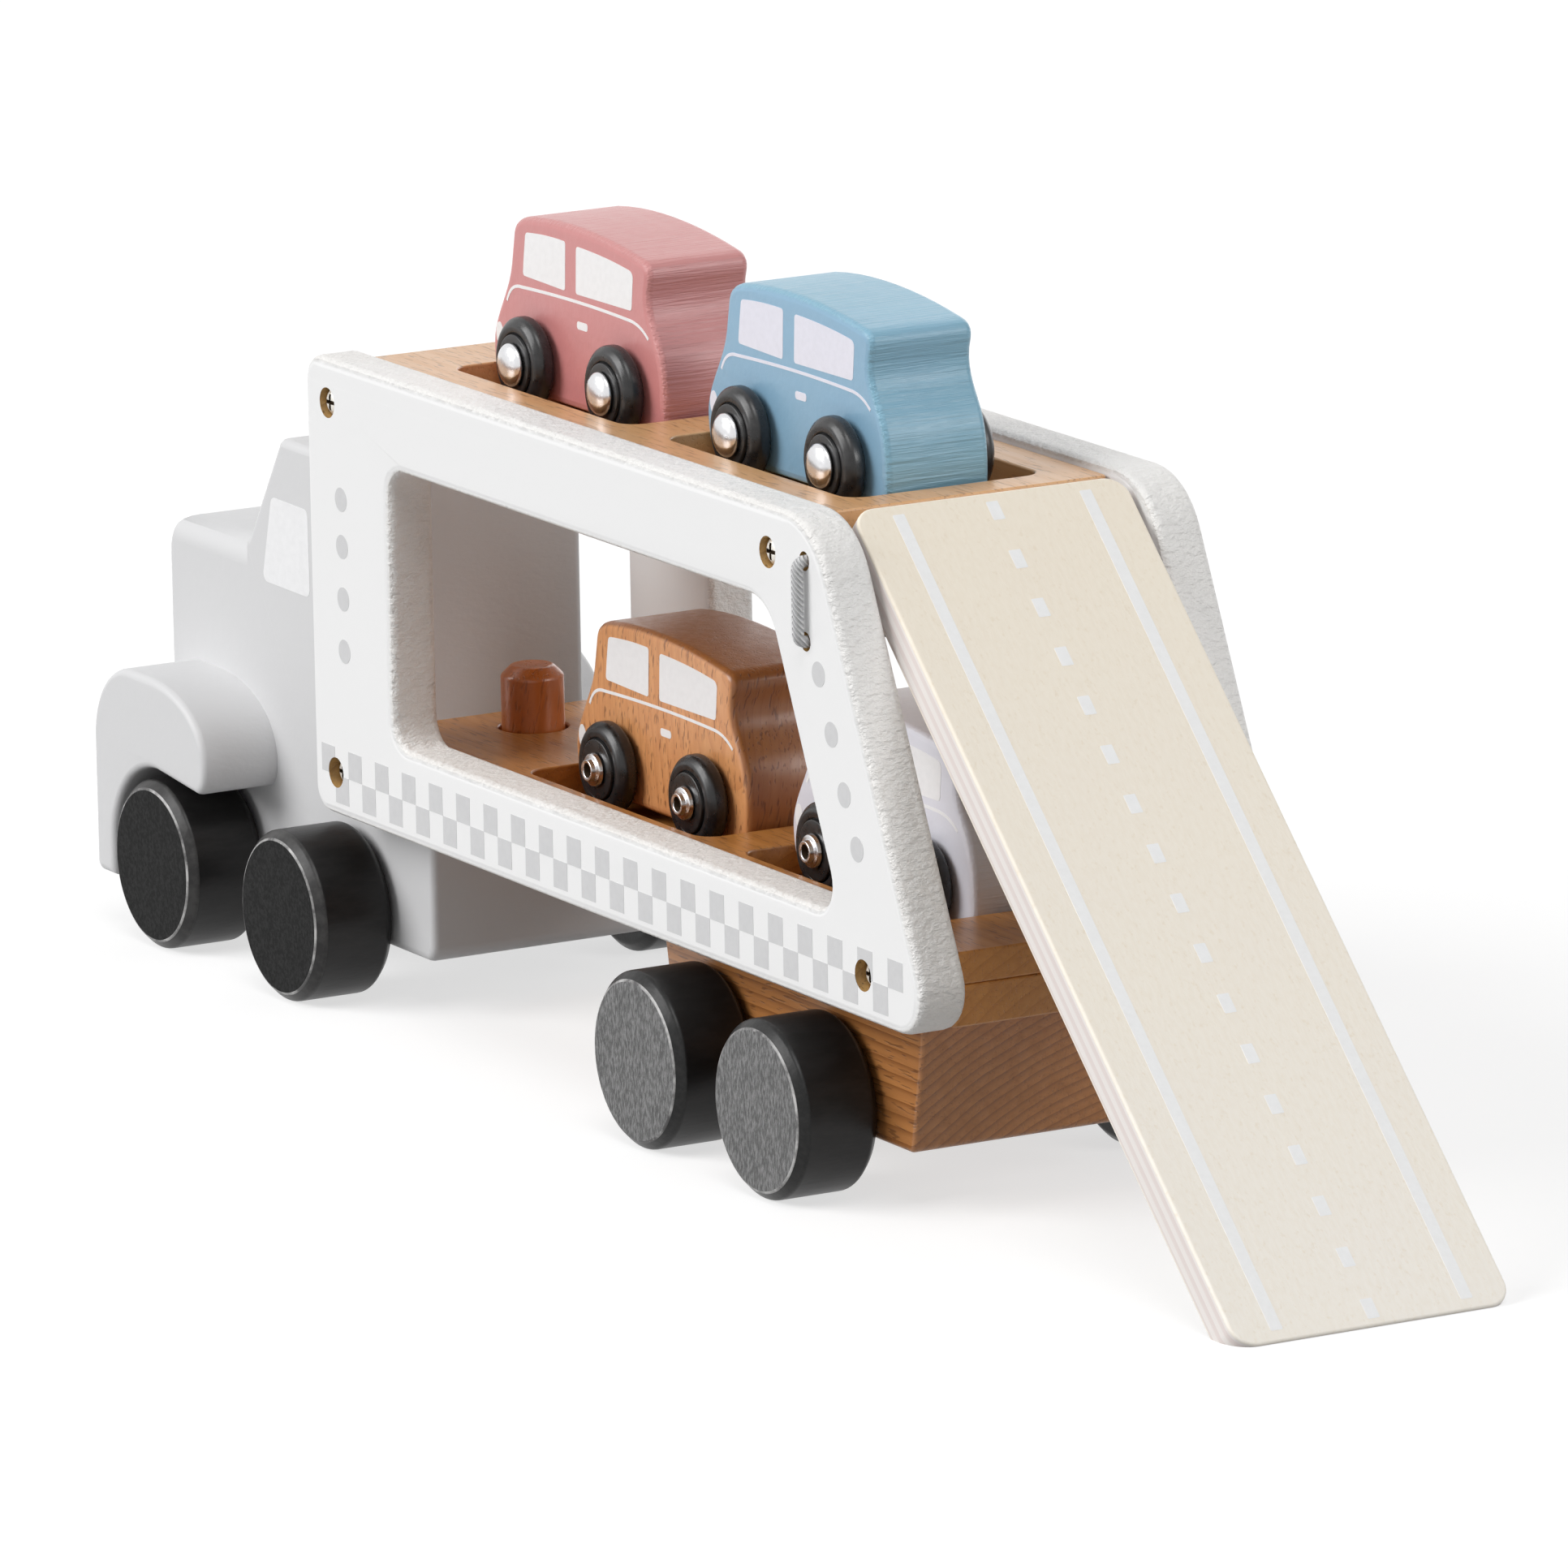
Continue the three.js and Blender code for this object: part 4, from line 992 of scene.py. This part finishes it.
print(cab.name, len(cab.data.polygons), "faces, roof at", round(cab_high.z, 1))

# %% [markdown]
# ## Tractor: fenders
# A fender hooks over the front wheel: a straight front, a round top that falls away to the tail,
# and an arch sawn out from below. Arcs and curves give its outline. Its root is let into the cab,
# so that the painted joint shows no groove. The far one is the same outline on the other side.

# %% Fenders
FENDER_EDGE = 1.4
ARCH_RADIUS = 18.5
FENDER_FRONT, FENDER_FOOT = 15.7, 2.0
FENDER_CREST = [(-24, 0), (-11, 0), (-0.2, -5), (0, -14)]
FENDER_TAIL_FOOT, TAIL_CURL, TAIL_DIP = 33.2, 4.5, 0.4
FENDER_ROOT = 26.5
for word, side in SIDES.items():
    low, high = box_mm(f"{word}_fender")
    outline = arc(low.x + FENDER_FOOT, low.z + FENDER_FOOT, FENDER_FOOT, 270, 180)
    outline += arc(low.x + FENDER_FRONT, high.z - FENDER_FRONT, FENDER_FRONT, 180, 90)
    crest = [(high.x + back, high.z + down) for back, down in FENDER_CREST]
    tail = [crest[-1], (high.x, FENDER_TAIL_FOOT - TAIL_DIP),
            (high.x - TAIL_CURL, FENDER_TAIL_FOOT)]
    outline += bezier(crest, steps=20) + bezier(tail, steps=10)
    outline += arc(tractor_axles[0], AXLE_HEIGHT, ARCH_RADIUS, 90, 180, 3 * ARC_STEPS)
    outline.append(Vector((tractor_axles[0] - ARCH_RADIUS, low.z)))
    reach_out = span(side, FENDER_ROOT, max(-low.y, high.y))
    fender = upright_board(f"{word}_mudguard", [outline], *reach_out, FENDER_EDGE)
    coat(fender, grey_paint)
    stands_for(fender, f"{word}_fender")
    print(fender.name, len(fender.data.polygons), "faces")

# %% [markdown]
# ## Hitch peg
# The peg is a length of dowel with a turned chamfer, glued upright in the chassis. It is turned
# about the Y axis like all round pieces, and then stood up.

# %% Hitch peg
peg_low, peg_high = box_mm("hitch_peg")
peg_radius = (peg_high.x - peg_low.x) / 2
PEG_CHAMFER = 2.0
peg = turned("peg", [
    (0, peg_low.z, 0), (peg_radius, peg_low.z, 0.3), (peg_radius, peg_high.z - PEG_CHAMFER, 0.5),
    (peg_radius - PEG_CHAMFER, peg_high.z, 0.5), (0, peg_high.z, 0)])
peg.rotation_euler.x = math.pi / 2
peg.location = place(PEG_X, 0, 0)
settle(peg)
coat(peg, peg_wood)
stands_for(peg, "hitch_peg")
print(peg.name, "top at", round(peg_high.z, 1))

# %% [markdown]
# ## Road wheels
# Eight wooden wheels of one shape: a chamfered disc on each end of a dowel. The profile is turned
# once, its zones get their finishes, and each wheel is a copy. The trailer's faces are the
# leathery ones, painted paler grey as a painted sheen. The dowels lie hidden in the blocks, so
# their plain CAD rods stay and only get their wood.

# %% Road wheels and axles
WHEEL_RADIUS, WHEEL_WIDTH, WHEEL_CHAMFER = 16.4, 16.5, 1.7
WHEEL_ROUNDING, FACE_ROUNDING = 0.55, 0.38
RIM_START, HIGHLIGHT_RING_START = WHEEL_WIDTH - WHEEL_CHAMFER - 0.2, WHEEL_WIDTH - 0.4
SLANTED, FLAT = 0.74, 0.97


def road_wheel(name, face_finish, rim_finish):
    face_radius = WHEEL_RADIUS - WHEEL_CHAMFER
    wheel = turned(name, [
        (0, 0, 0), (face_radius, 0, WHEEL_ROUNDING), (WHEEL_RADIUS, WHEEL_CHAMFER, WHEEL_ROUNDING),
        (WHEEL_RADIUS, WHEEL_WIDTH - WHEEL_CHAMFER, WHEEL_ROUNDING),
        (face_radius, WHEEL_WIDTH, FACE_ROUNDING), (0, WHEEL_WIDTH, 0)])
    coat(wheel, tread_black)
    coat_where(wheel, rim_finish, lambda c, n: c.y > RIM_START * MM)
    # painted highlight: the rounded rim between face and chamfer gets the pale ring
    coat_where(wheel, painted_highlight_ring, lambda c, n: c.y > HIGHLIGHT_RING_START * MM and SLANTED < n.y < FLAT)
    coat_where(wheel, face_finish, lambda c, n: c.y > 0 and n.y > FLAT)
    return wheel


patterns = {
    "tractor": road_wheel("tractor pattern", tractor_face, chamfer_black),
    "trailer": road_wheel("trailer pattern", trailer_face_painted_sheen, rim_black)}
for vehicle, pattern in patterns.items():
    for end in ("front", "rear"):
        x = axle_x(f"{vehicle}_{end}")
        frame["nodes"][f"{vehicle}_{end}_axle"].data.materials[0] = axle_wood
        for word, side in SIDES.items():
            node = f"{vehicle}_{end}_{word}_wheel"
            inner = min(abs(corner.y) for corner in box_mm(node))
            spot = place(x, side * inner, AXLE_HEIGHT)
            stands_for(copy_at(pattern, f"{node}_turned", spot, facing(side)), node)
    drop(pattern)
print("road wheels: 8, inner faces at", round(inner, 1), "mm from the middle")

# %% [markdown]
# ## Decks
# Each deck is glued up from two boards: a base, and a frame whose two openings make the pockets
# for the cars. Made the same way here, the rounded edges leave the fine glue line that shows at
# the rear. The peg's hole goes through both boards of the lower deck.

# %% Decks
DECK_EDGE, DECK_CORNER = 0.45, 1.2
PEG_HOLE_STEPS = 48
POCKET_DEPTH, POCKET_CORNER = 6.0, 4.0
POCKET_HALF = 20.0
POCKET_LENGTH, POCKET_STEP = 67.8, 81.1
POCKET_START = {"upper": 22.6, "lower": 48.2}


def rectangle(x_low, x_high, y_low, y_high, radius):
    return rounded([(x_low, y_low, radius), (x_high, y_low, radius),
                    (x_high, y_high, radius), (x_low, y_high, radius)])


for word, wood in (("upper", deck_wood), ("lower", lower_wood)):
    low, high = box_mm(f"{word}_deck")
    board = rectangle(low.x, high.x, low.y, high.y, DECK_CORNER)
    pockets = [rectangle(start, start + POCKET_LENGTH, -POCKET_HALF, POCKET_HALF, POCKET_CORNER)
               for start in (POCKET_START[word], POCKET_START[word] + POCKET_STEP)]
    peg_hole = [circle(PEG_X, 0, PEG_HOLE_RADIUS, PEG_HOLE_STEPS)] if word == "lower" else []
    seam = high.z - POCKET_DEPTH
    base = level_board("base", [board, *peg_hole], low.z, seam, DECK_EDGE)
    upper_board = level_board("frame", [board, *pockets, *peg_hole], seam, high.z, DECK_EDGE)
    deck = joined(f"{word}_deck_boards", base, upper_board)
    coat(deck, wood)
    stands_for(deck, f"{word}_deck")
    print(deck.name, len(deck.data.polygons), "faces, floor of the pockets at", round(seam, 1))

# %% [markdown]
# ## Bogie block
# The block under the rear of the trailer is cut narrower at the bottom, front and rear, and
# carries two axles. Its sawn rear end shows the arcs of the year rings.

# %% Bogie block
BOGIE_UNDERCUT = 4.9
BOGIE_CORNER, BOGIE_EDGE = 1.6, 0.9
low, high = box_mm("bogie_block")
corners = [(low.x + BOGIE_UNDERCUT, low.z), (high.x - BOGIE_UNDERCUT, low.z),
           (high.x, high.z), (low.x, high.z)]
bogie = upright_board("bogie", [rounded([(x, z, BOGIE_CORNER) for x, z in corners])],
                      low.y, high.y, BOGIE_EDGE)
coat(bogie, bogie_wood)
trailer_axles = [axle_x("trailer_front"), axle_x("trailer_rear")]
bored(bogie, trailer_axles, AXLE_BORE, AXLE_HEIGHT, low.y, high.y)
stands_for(bogie, "bogie_block")
print(bogie.name, len(bogie.data.polygons), "faces")

# %% [markdown]
# ## Screws
# Eight screws hold the panels to the decks, the lower ones sunk deep, the upper ones nearly flush.
# A screw is turned, and its cross recess is sunk with a plus-shaped punch.

# %% Screws
SCREW_HEAD, SCREW_SHANK, SCREW_SUNK, SCREW_TIP = 2.6, 1.5, 1.4, 3.0
SCREW_PROUD = 0.8
HEAD_HEIGHT, RIM_HEIGHT, CROWN_RADIUS = 2.0, 1.1, 1.5
SCREW_IN_DECK = 10.0
RECESS_DEPTH, ARM, WIDE = 1.0, 1.55, 0.36
SCREW_STEPS = 36
own_x = -home_x / MM
screw_top = panel_outer - SCREW_SUNK
screw_seat = screw_top - HEAD_HEIGHT
screw_tip = panel_inner - SCREW_IN_DECK
screw = turned("screw pattern", [
    (0, screw_tip, 0), (SCREW_SHANK, screw_tip + SCREW_TIP, 0), (SCREW_SHANK, screw_seat, 0),
    (SCREW_HEAD, screw_seat, 0.2), (SCREW_HEAD, screw_seat + RIM_HEIGHT, 0.3),
    (CROWN_RADIUS, screw_top, 0.5), (0, screw_top, 0)], SCREW_STEPS)
coat(screw, screw_zinc)
plus = [(ARM, -WIDE), (ARM, WIDE), (WIDE, WIDE), (WIDE, ARM), (-WIDE, ARM), (-WIDE, WIDE),
        (-ARM, WIDE), (-ARM, -WIDE), (-WIDE, -WIDE), (-WIDE, -ARM), (WIDE, -ARM), (WIDE, -WIDE)]
punch = upright_board("punch", [[Vector((own_x + u, v)) for u, v in plus]],
                      screw_top - RECESS_DEPTH, screw_top + OVERRUN)
# the cross recess is painted dark, as painted shade
coat(punch, recess_painted_shade)
cut(screw, punch)
for word, side in SIDES.items():
    for spot, (x, z) in screw_places().items():
        node = f"{word}_{spot}_screw"
        proud = side * SCREW_PROUD if spot.startswith("upper") else 0
        piece = copy_at(screw, f"{node}_turned", place(x, proud, z), facing(side))
        stands_for(piece, node)
drop(screw)
print("screws: 8, lower heads", SCREW_SUNK, "mm below the paint, upper ones", SCREW_PROUD,
      "mm less")

# %% [markdown]
# ## Elastic cord
# The elastic is the ramp's hinge pin. It runs through both panels and the ramp, lies down the
# outer face of each panel, and comes back in to a knot between the panels. It is a curve with a
# round bevel, made a mesh at the end. The knot is a trefoil, the plainest knot that a closed curve
# can make.

# %% Elastic cord and knot
ELASTIC_RADIUS = 1.1
ELASTIC_BEND = 1.5
KNOT_RADIUS, KNOT_CORD = 2.0, 0.95
CORD_END = 1.5
CORD_STEPS, BEND_STEPS = 5, 6


def tube(name, path, radius, cyclic=False):
    """A round cord through points in metres."""
    curve = new_curve(name, "3D", [path], cyclic)
    curve.bevel_depth = radius * MM
    curve.bevel_resolution = CORD_STEPS
    curve.use_fill_caps = not cyclic
    bpy.ops.object.convert(target="MESH")
    piece = bpy.context.object
    tidy_mesh(piece)
    return smooth(piece)


def elastic_path():
    """From the knot round one panel, across through the ramp, and back round the other panel."""
    low = hinge_z - CORD_HOLE_DROP
    flat = [Vector((CORD_END, low))]
    flat += arc(panel_outer, low + ELASTIC_BEND, ELASTIC_BEND, -90, 0, BEND_STEPS)
    flat += arc(panel_outer, hinge_z - ELASTIC_BEND, ELASTIC_BEND, 0, 90, BEND_STEPS)
    flat += [Vector((-p.x, p.y)) for p in flat[::-1]]
    return [place(hinge_x, y, z) for y, z in flat]


def knot_path(steps=TURN_STEPS):
    """A trefoil about the middle of the lower run."""
    path = []
    for k in range(steps):
        t = 2 * math.pi * k / steps
        across = (math.sin(t) + 2 * math.sin(2 * t)) / 3
        up = (math.cos(t) - 2 * math.cos(2 * t)) / 3
        along = -math.sin(3 * t) / 2
        path.append(place(hinge_x + KNOT_RADIUS * along, KNOT_RADIUS * across,
                          hinge_z - CORD_HOLE_DROP + KNOT_RADIUS * up))
    return path


elastic = joined("elastic_loop", tube("cord", elastic_path(), ELASTIC_RADIUS),
                 tube("knot", knot_path(), KNOT_CORD, True))
coat(elastic, elastic_braid)
stands_for(elastic, "elastic_cord")
print(elastic.name, len(elastic.data.polygons), "faces")

# %% [markdown]
# ## Ramp
# The ramp is one plywood board. It is made lying flat about its hinge, turned down by its slope,
# and trimmed level with the floor, as a maker would plane its lower end. The hinge hole is drilled
# across.

# %% Ramp and road lines
ramp_side = ramp_high.y
RAMP_CORNER, RAMP_EDGE = 4.5, 0.5
FLOOR_TRIM, SAW_OVERRUN, SAW_HALF, SAW_CORNER = 12.0, 5, 40, 1


def on_ramp(piece, height):
    """Turns a flat piece into the ramp's plane, height mm above its middle."""
    turn = Matrix.Rotation(ramp_slope, 3, "Y")
    piece.rotation_euler.y = ramp_slope
    piece.location = hinge_place + turn @ Vector((0, 0, height * MM))
    return set_in_place(piece)


ramp_board = rectangle(-RAMP_HINGE_INSET, reach, -ramp_side, ramp_side, RAMP_CORNER)
ramp = on_ramp(flat_board("ramp_board", [ramp_board], RAMP_THICKNESS, RAMP_EDGE), 0)
coat(ramp, ramp_ply)
below_floor = rectangle(hinge_x, ramp_high.x + SAW_OVERRUN, -SAW_HALF, SAW_HALF, SAW_CORNER)
floor_saw = level_board("saw", [below_floor], -FLOOR_TRIM, 0)
coat(floor_saw, ramp_ply)
cut(ramp, floor_saw)
bored(ramp, [hinge_x], CORD_HOLE_RADIUS, hinge_z, -ramp_side, ramp_side)
stands_for(ramp, "ramp")
LINE_Y, LINE_HALF, LINE_SHORT = 19.2, 1.2, 2.2
LINE_CORNER, DASH_CORNER = 0.3, 0.2
DASH_LENGTH, DASH_PITCH, DASHES = 4.0, 10.7, 17
FIRST_DASH = 4.0
lines = [rectangle(LINE_SHORT - RAMP_HINGE_INSET, reach - LINE_SHORT,
                   y - LINE_HALF, y + LINE_HALF, LINE_CORNER) for y in (-LINE_Y, LINE_Y)]
for k in range(DASHES):
    x = FIRST_DASH - RAMP_HINGE_INSET + k * DASH_PITCH
    lines.append(rectangle(x - DASH_LENGTH / 2, x + DASH_LENGTH / 2,
                           -LINE_HALF, LINE_HALF, DASH_CORNER))
road = on_ramp(flat_board("ramp_road_lines", lines, 2 * FILM, 0.0), RAMP_THICKNESS / 2)
coat(road, road_ink)
goes_with(road, "ramp")
print(ramp.name, len(ramp.data.polygons), "faces,", DASHES, "dashes")

# %% [markdown]
# ## Cars
# All four cars are one shape, sawn from a thick board: a round nose, a leaning windscreen, a
# crowned roof and a hollow under the tail. The outline is a run of Bezier curves from the nose,
# each going on where the last one ends. The sill hangs low between the wheels, so that no light
# shows under a car in its pocket. The thick board keeps the sawn look on the roof and tail.

# %% Car outline
CAR_EDGE = 1.5
CAR_SILL, CAD_SILL = 2.0, 5.5
CAR_CURVES = [
    [(61.9, CAR_SILL)], [(65.2, CAR_SILL), (65.4, 5.6)], [(65.7, 9), (65.4, 13.4), (64.2, 16.6)],
    [(62.6, 21.0), (57.9, 24.2), (60.2, 30.0)], [(61.0, 33.4), (57.3, 34)],
    [(42, 36.6), (26, 37.2), (13.5, 35.4)], [(9.1, 34.6), (8.6, 31.8)], [(7.4, 26)],
    [(6, 20), (0.3, 15.5), (0, 10.0)], [(0.1, CAR_SILL), (4.6, CAR_SILL)]]


def run_of_curves(start, curves, steps=10):
    """Points on curves that go on from each other; each lists what follows its first point."""
    points = []
    for curve in curves:
        points += bezier([start, *curve], steps)
        start = curve[-1]
    return points


car_outline = run_of_curves(CAR_CURVES[-1][-1], CAR_CURVES)
print("car outline:", len(car_outline), "points")

# %% [markdown]
# ## Prints of a car
# Two windows, a belt line, a door handle and a headlight are printed on each side. The upper edges
# of the windows follow the roof, so they are curves as well.

# %% Car prints
FRONT_PANE = [
    [(13.2, 28.2), (13.9, 32.0)], [(14.2, 32.7), (15.0, 32.7)], [(22, 33.4), (28.7, 33.2)],
    [(29.3, 33.1), (29.3, 32.5)], [(28.9, 24.5)], [(28.8, 23.9), (28.2, 23.9)], [(13.6, 24.3)],
    [(12.7, 24.3), (12.8, 25.2)]]
REAR_PANE = [
    [(33.4, 32.2)], [(33.5, 32.9), (34.2, 32.9)], [(44.5, 32.7), (53.4, 31.5)],
    [(54.7, 31.3), (54.8, 30.2)], [(54.2, 24.8)], [(54.1, 24.0), (53.3, 24.0)], [(33.7, 23.9)],
    [(33.0, 23.9), (33.0, 24.6)]]
BELT_START = (6.3, 18.6)
BELT = [[(7.4, 21.0), (9.2, 22.1), (12, 22.0)], [(33, 22.9), (53.7, 22.1)],
        [(57.6, 21.8), (60.2, 19.6)]]
BELT_WIDTH = 0.6
HANDLE, HANDLE_CORNER = [(33.2, 17.4), (37.2, 17.4), (37.2, 18.9), (33.2, 18.9)], 0.6
HEADLIGHT, HEADLIGHT_STEPS = (3.2, 11.9, 1.35, 2.2), 28


def car_prints():
    panes = [run_of_curves(pane[-1][-1], pane) for pane in (FRONT_PANE, REAR_PANE)]
    belt = run_of_curves(BELT_START, BELT) + [Vector(BELT[-1][-1])]
    handle = rounded([(x, z, HANDLE_CORNER) for x, z in HANDLE])
    return [*panes, stroke(belt, BELT_WIDTH), handle, oval(*HEADLIGHT, HEADLIGHT_STEPS)]


print("car prints:", len(car_prints()), "shapes")

# %% [markdown]
# ## Car wheels and rivets
# A car wheel is moulded, with a rounded tyre and a raised ring about the rivet. The rivet is the
# axle: a domed cap at one end, a rod, and at the other end a tube that is rolled over in a step.
# The upper cars show their caps on the left, the lower ones their rolled ends.

# %% Car wheel and rivet
CAR_WHEEL_RADIUS, CAR_WHEEL_WIDTH = 8.75, 4.6
CAR_WHEEL_INNER = 11.25
CAR_WHEEL_STEPS, RIVET_STEPS = 56, 48
RIVET_BORE = 1.3
car_wheel = turned("car wheel pattern", [
    (0, 0, 0), (7.6, 0, 0.4), (CAR_WHEEL_RADIUS, 1.0, 0.5), (CAR_WHEEL_RADIUS, 3.1, 0.7),
    (7.4, 4.3, 0.6), (6.0, 4.15, 0.2), (5.75, 3.75, 0.15), (5.6, CAR_WHEEL_WIDTH, 0.2),
    (4.5, CAR_WHEEL_WIDTH, 0.2), (0, 4.55, 0)], CAR_WHEEL_STEPS)
coat(car_wheel, wheel_plastic)
wheel_face = CAR_WHEEL_INNER + CAR_WHEEL_WIDTH
rivet = turned("rivet pattern", [
    (0, -wheel_face - 0.5, 0), (1.25, -wheel_face - 0.5, 0.05), (1.35, -wheel_face - 2.0, 0.15),
    (2.0, -wheel_face - 2.15, 0.2), (2.15, -wheel_face - 1.2, 0.1), (3.0, -wheel_face - 1.1, 0.25),
    (3.2, -wheel_face - 0.3, 0), (1.5, -wheel_face - 0.3, 0), (1.5, wheel_face + 0.3, 0),
    (4.1, wheel_face + 0.3, 0.1), (4.1, wheel_face + 0.75, 0.25), (3.6, wheel_face + 1.5, 0.6),
    (2.0, wheel_face + 2.15, 0.9), (0, wheel_face + 2.28, 0)], RIVET_STEPS)
coat(rivet, cap_chrome)
# the hollow end of each rivet is painted dark, as painted shade
coat_where(rivet, recess_painted_shade,
           lambda c, n: c.y < -wheel_face * MM and math.hypot(c.x, c.z) < RIVET_BORE * MM)
print("car wheel", len(car_wheel.data.polygons), "faces, rivet", len(rivet.data.polygons), "faces")

# %% [markdown]
# ## The four cars
# Each car takes its place from its CAD body: the nose, the floor of its pocket and its middle
# plane. A car is then a board with its axle holes, two sets of prints, two rivets and four wheels.

# %% Four cars
CAR_BORE = 1.9
CARS = {
    "pink_car": (pink_paint, white_ink, LEFT), "blue_car": (blue_paint, lavender_ink, LEFT),
    "natural_car": (car_wood, white_ink, RIGHT), "white_car": (lavender_paint, white_ink, RIGHT)}


def moved(outline, x, z):
    return [p + Vector((x, z)) for p in outline]


for name, (finish, ink, cap_side) in CARS.items():
    low, high = box_mm(f"{name}_body")
    middle, half = (low.y + high.y) / 2, (high.y - low.y) / 2
    sill = low.z - CAD_SILL
    outline = moved(car_outline, low.x, sill)
    body = upright_board(f"{name}_board", [outline], low.y, high.y, CAR_EDGE)
    coat(body, finish)
    axles = [axle_x(f"{name}_front"), axle_x(f"{name}_rear")]
    bored(body, axles, CAR_BORE, sill + CAR_WHEEL_RADIUS, low.y, high.y)
    stands_for(body, f"{name}_body")
    shapes = [moved(shape, low.x, sill) for shape in car_prints()]
    for word, side in SIDES.items():
        marks = film(f"{name}_{word}_prints", shapes, side, half + side * middle)
        coat(marks, ink)
        goes_with(marks, f"{name}_body")
    for end, x in zip(("front", "rear"), axles):
        node = f"{name}_{end}_axle"
        centre = place(x, middle, sill + CAR_WHEEL_RADIUS)
        stands_for(copy_at(rivet, f"{node}_rivet", centre, facing(cap_side)), node)
        for word, side in SIDES.items():
            node = f"{name}_{end}_{word}_wheel"
            spot = place(x, middle + side * CAR_WHEEL_INNER, sill + CAR_WHEEL_RADIUS)
            stands_for(copy_at(car_wheel, f"{node}_moulded", spot, facing(side)), node)
    print(name, "nose at", round(low.x, 1), "floor at", round(sill, 1))
drop(car_wheel)
drop(rivet)

# %% [markdown]
# ## Floor, light and air
# The toy stands on plain white. A broad soft lamp at the camera's left gives the long sides their
# full light and leaves the rear faces darker. A weaker one high at the rear draws the curves of
# the tails, a glancing one gives them a sheen, one on the far side lifts the faces that look away,
# and the air fills in the shadows. The floor keeps its shadow, and is lit a little where it is
# seen, so that it stays white.

# %% Studio
WHITE = (1, 1, 1, 1)
AIR_STRENGTH = 0.2
FLOOR_SIZE, FLOOR_GREY, FLOOR_GLOW = 12, (0.42, 0.42, 0.42), 0.66
LAMPS = {  # the way to each lamp, its strength, and its softness in degrees
    "left lamp": ((-0.3, -0.8, 0.52), 2.3, 40),
    "rear lamp": ((0.4, -0.2, 0.89), 0.8, 30),
    "glancing lamp": ((0.8, 0.45, 0.4), 0.75, 22),
    "far lamp": ((-0.5, 0.8, 0.3), 0.5, 50)}
for name, (direction, strength, softness) in LAMPS.items():
    bpy.ops.object.light_add(type="SUN", location=direction)
    light = bpy.context.object
    light.name = name
    light.rotation_euler = Vector(direction).to_track_quat("Z", "Y").to_euler()
    light.data.energy = strength
    light.data.angle = math.radians(softness)


def seen_rays(setting):
    """1 for what the camera sees, straight or in a shine, 0 for light that only fills in."""
    rays = add_node(setting, "ShaderNodeLightPath").outputs
    seen = math_node(setting, "MAXIMUM", rays["Is Camera Ray"], rays["Is Glossy Ray"])
    return math_node(setting, "MAXIMUM", seen, rays["Is Transmission Ray"])


bpy.ops.mesh.primitive_plane_add(size=FLOOR_SIZE)
floor = bpy.context.object
floor.name = "white_floor"
floor_white = new_finish("studio white", FLOOR_GREY, roughness=1.0, specular=0.0)
glow = math_node(floor_white, "MULTIPLY", seen_rays(floor_white), FLOOR_GLOW)
shader_of(floor_white).inputs["Emission Color"].default_value = WHITE
feed(floor_white, "Emission Strength", glow)
coat(floor, floor_white)

world = bpy.data.worlds.new("studio air")
bpy.context.scene.world = world
world.use_nodes = True
sky = world.node_tree.nodes["Background"]
sky.inputs["Color"].default_value = WHITE
sky_strength = between(world, seen_rays(world), 0, 1, AIR_STRENGTH, 1)
world.node_tree.links.new(sky_strength, sky.inputs["Strength"])
bpy.context.scene.view_settings.view_transform = "Standard"
print("lamps:", len(LAMPS), "air", AIR_STRENGTH)

# %% [markdown]
# ## Camera
# The photograph is taken from far off with a long lens, from the left rear and a little above. The
# camera's place follows from two angles and a distance, with a slight roll.

# %% Camera
AZIMUTH, ELEVATION, ROLL = (math.radians(v) for v in (60.534, 12.628, -1.041))
DISTANCE, FOCAL, SENSOR = 2.617, 328.8, 36
TARGET = Vector((-0.00525, 0, 0.05775))
back = Vector((math.sin(AZIMUTH) * math.cos(ELEVATION),
               -math.cos(AZIMUTH) * math.cos(ELEVATION), math.sin(ELEVATION)))
right = Vector((0, 0, 1)).cross(back).normalized()
up = back.cross(right)
right, up = (right * math.cos(ROLL) + up * math.sin(ROLL),
             up * math.cos(ROLL) - right * math.sin(ROLL))
bpy.ops.object.camera_add(location=TARGET + back * DISTANCE)
camera = bpy.context.object
camera.rotation_euler = Matrix((right, up, back)).transposed().to_euler()
camera.data.lens = FOCAL
camera.data.sensor_width = SENSOR
bpy.context.scene.camera = camera
print("camera at", [round(v, 3) for v in camera.location])
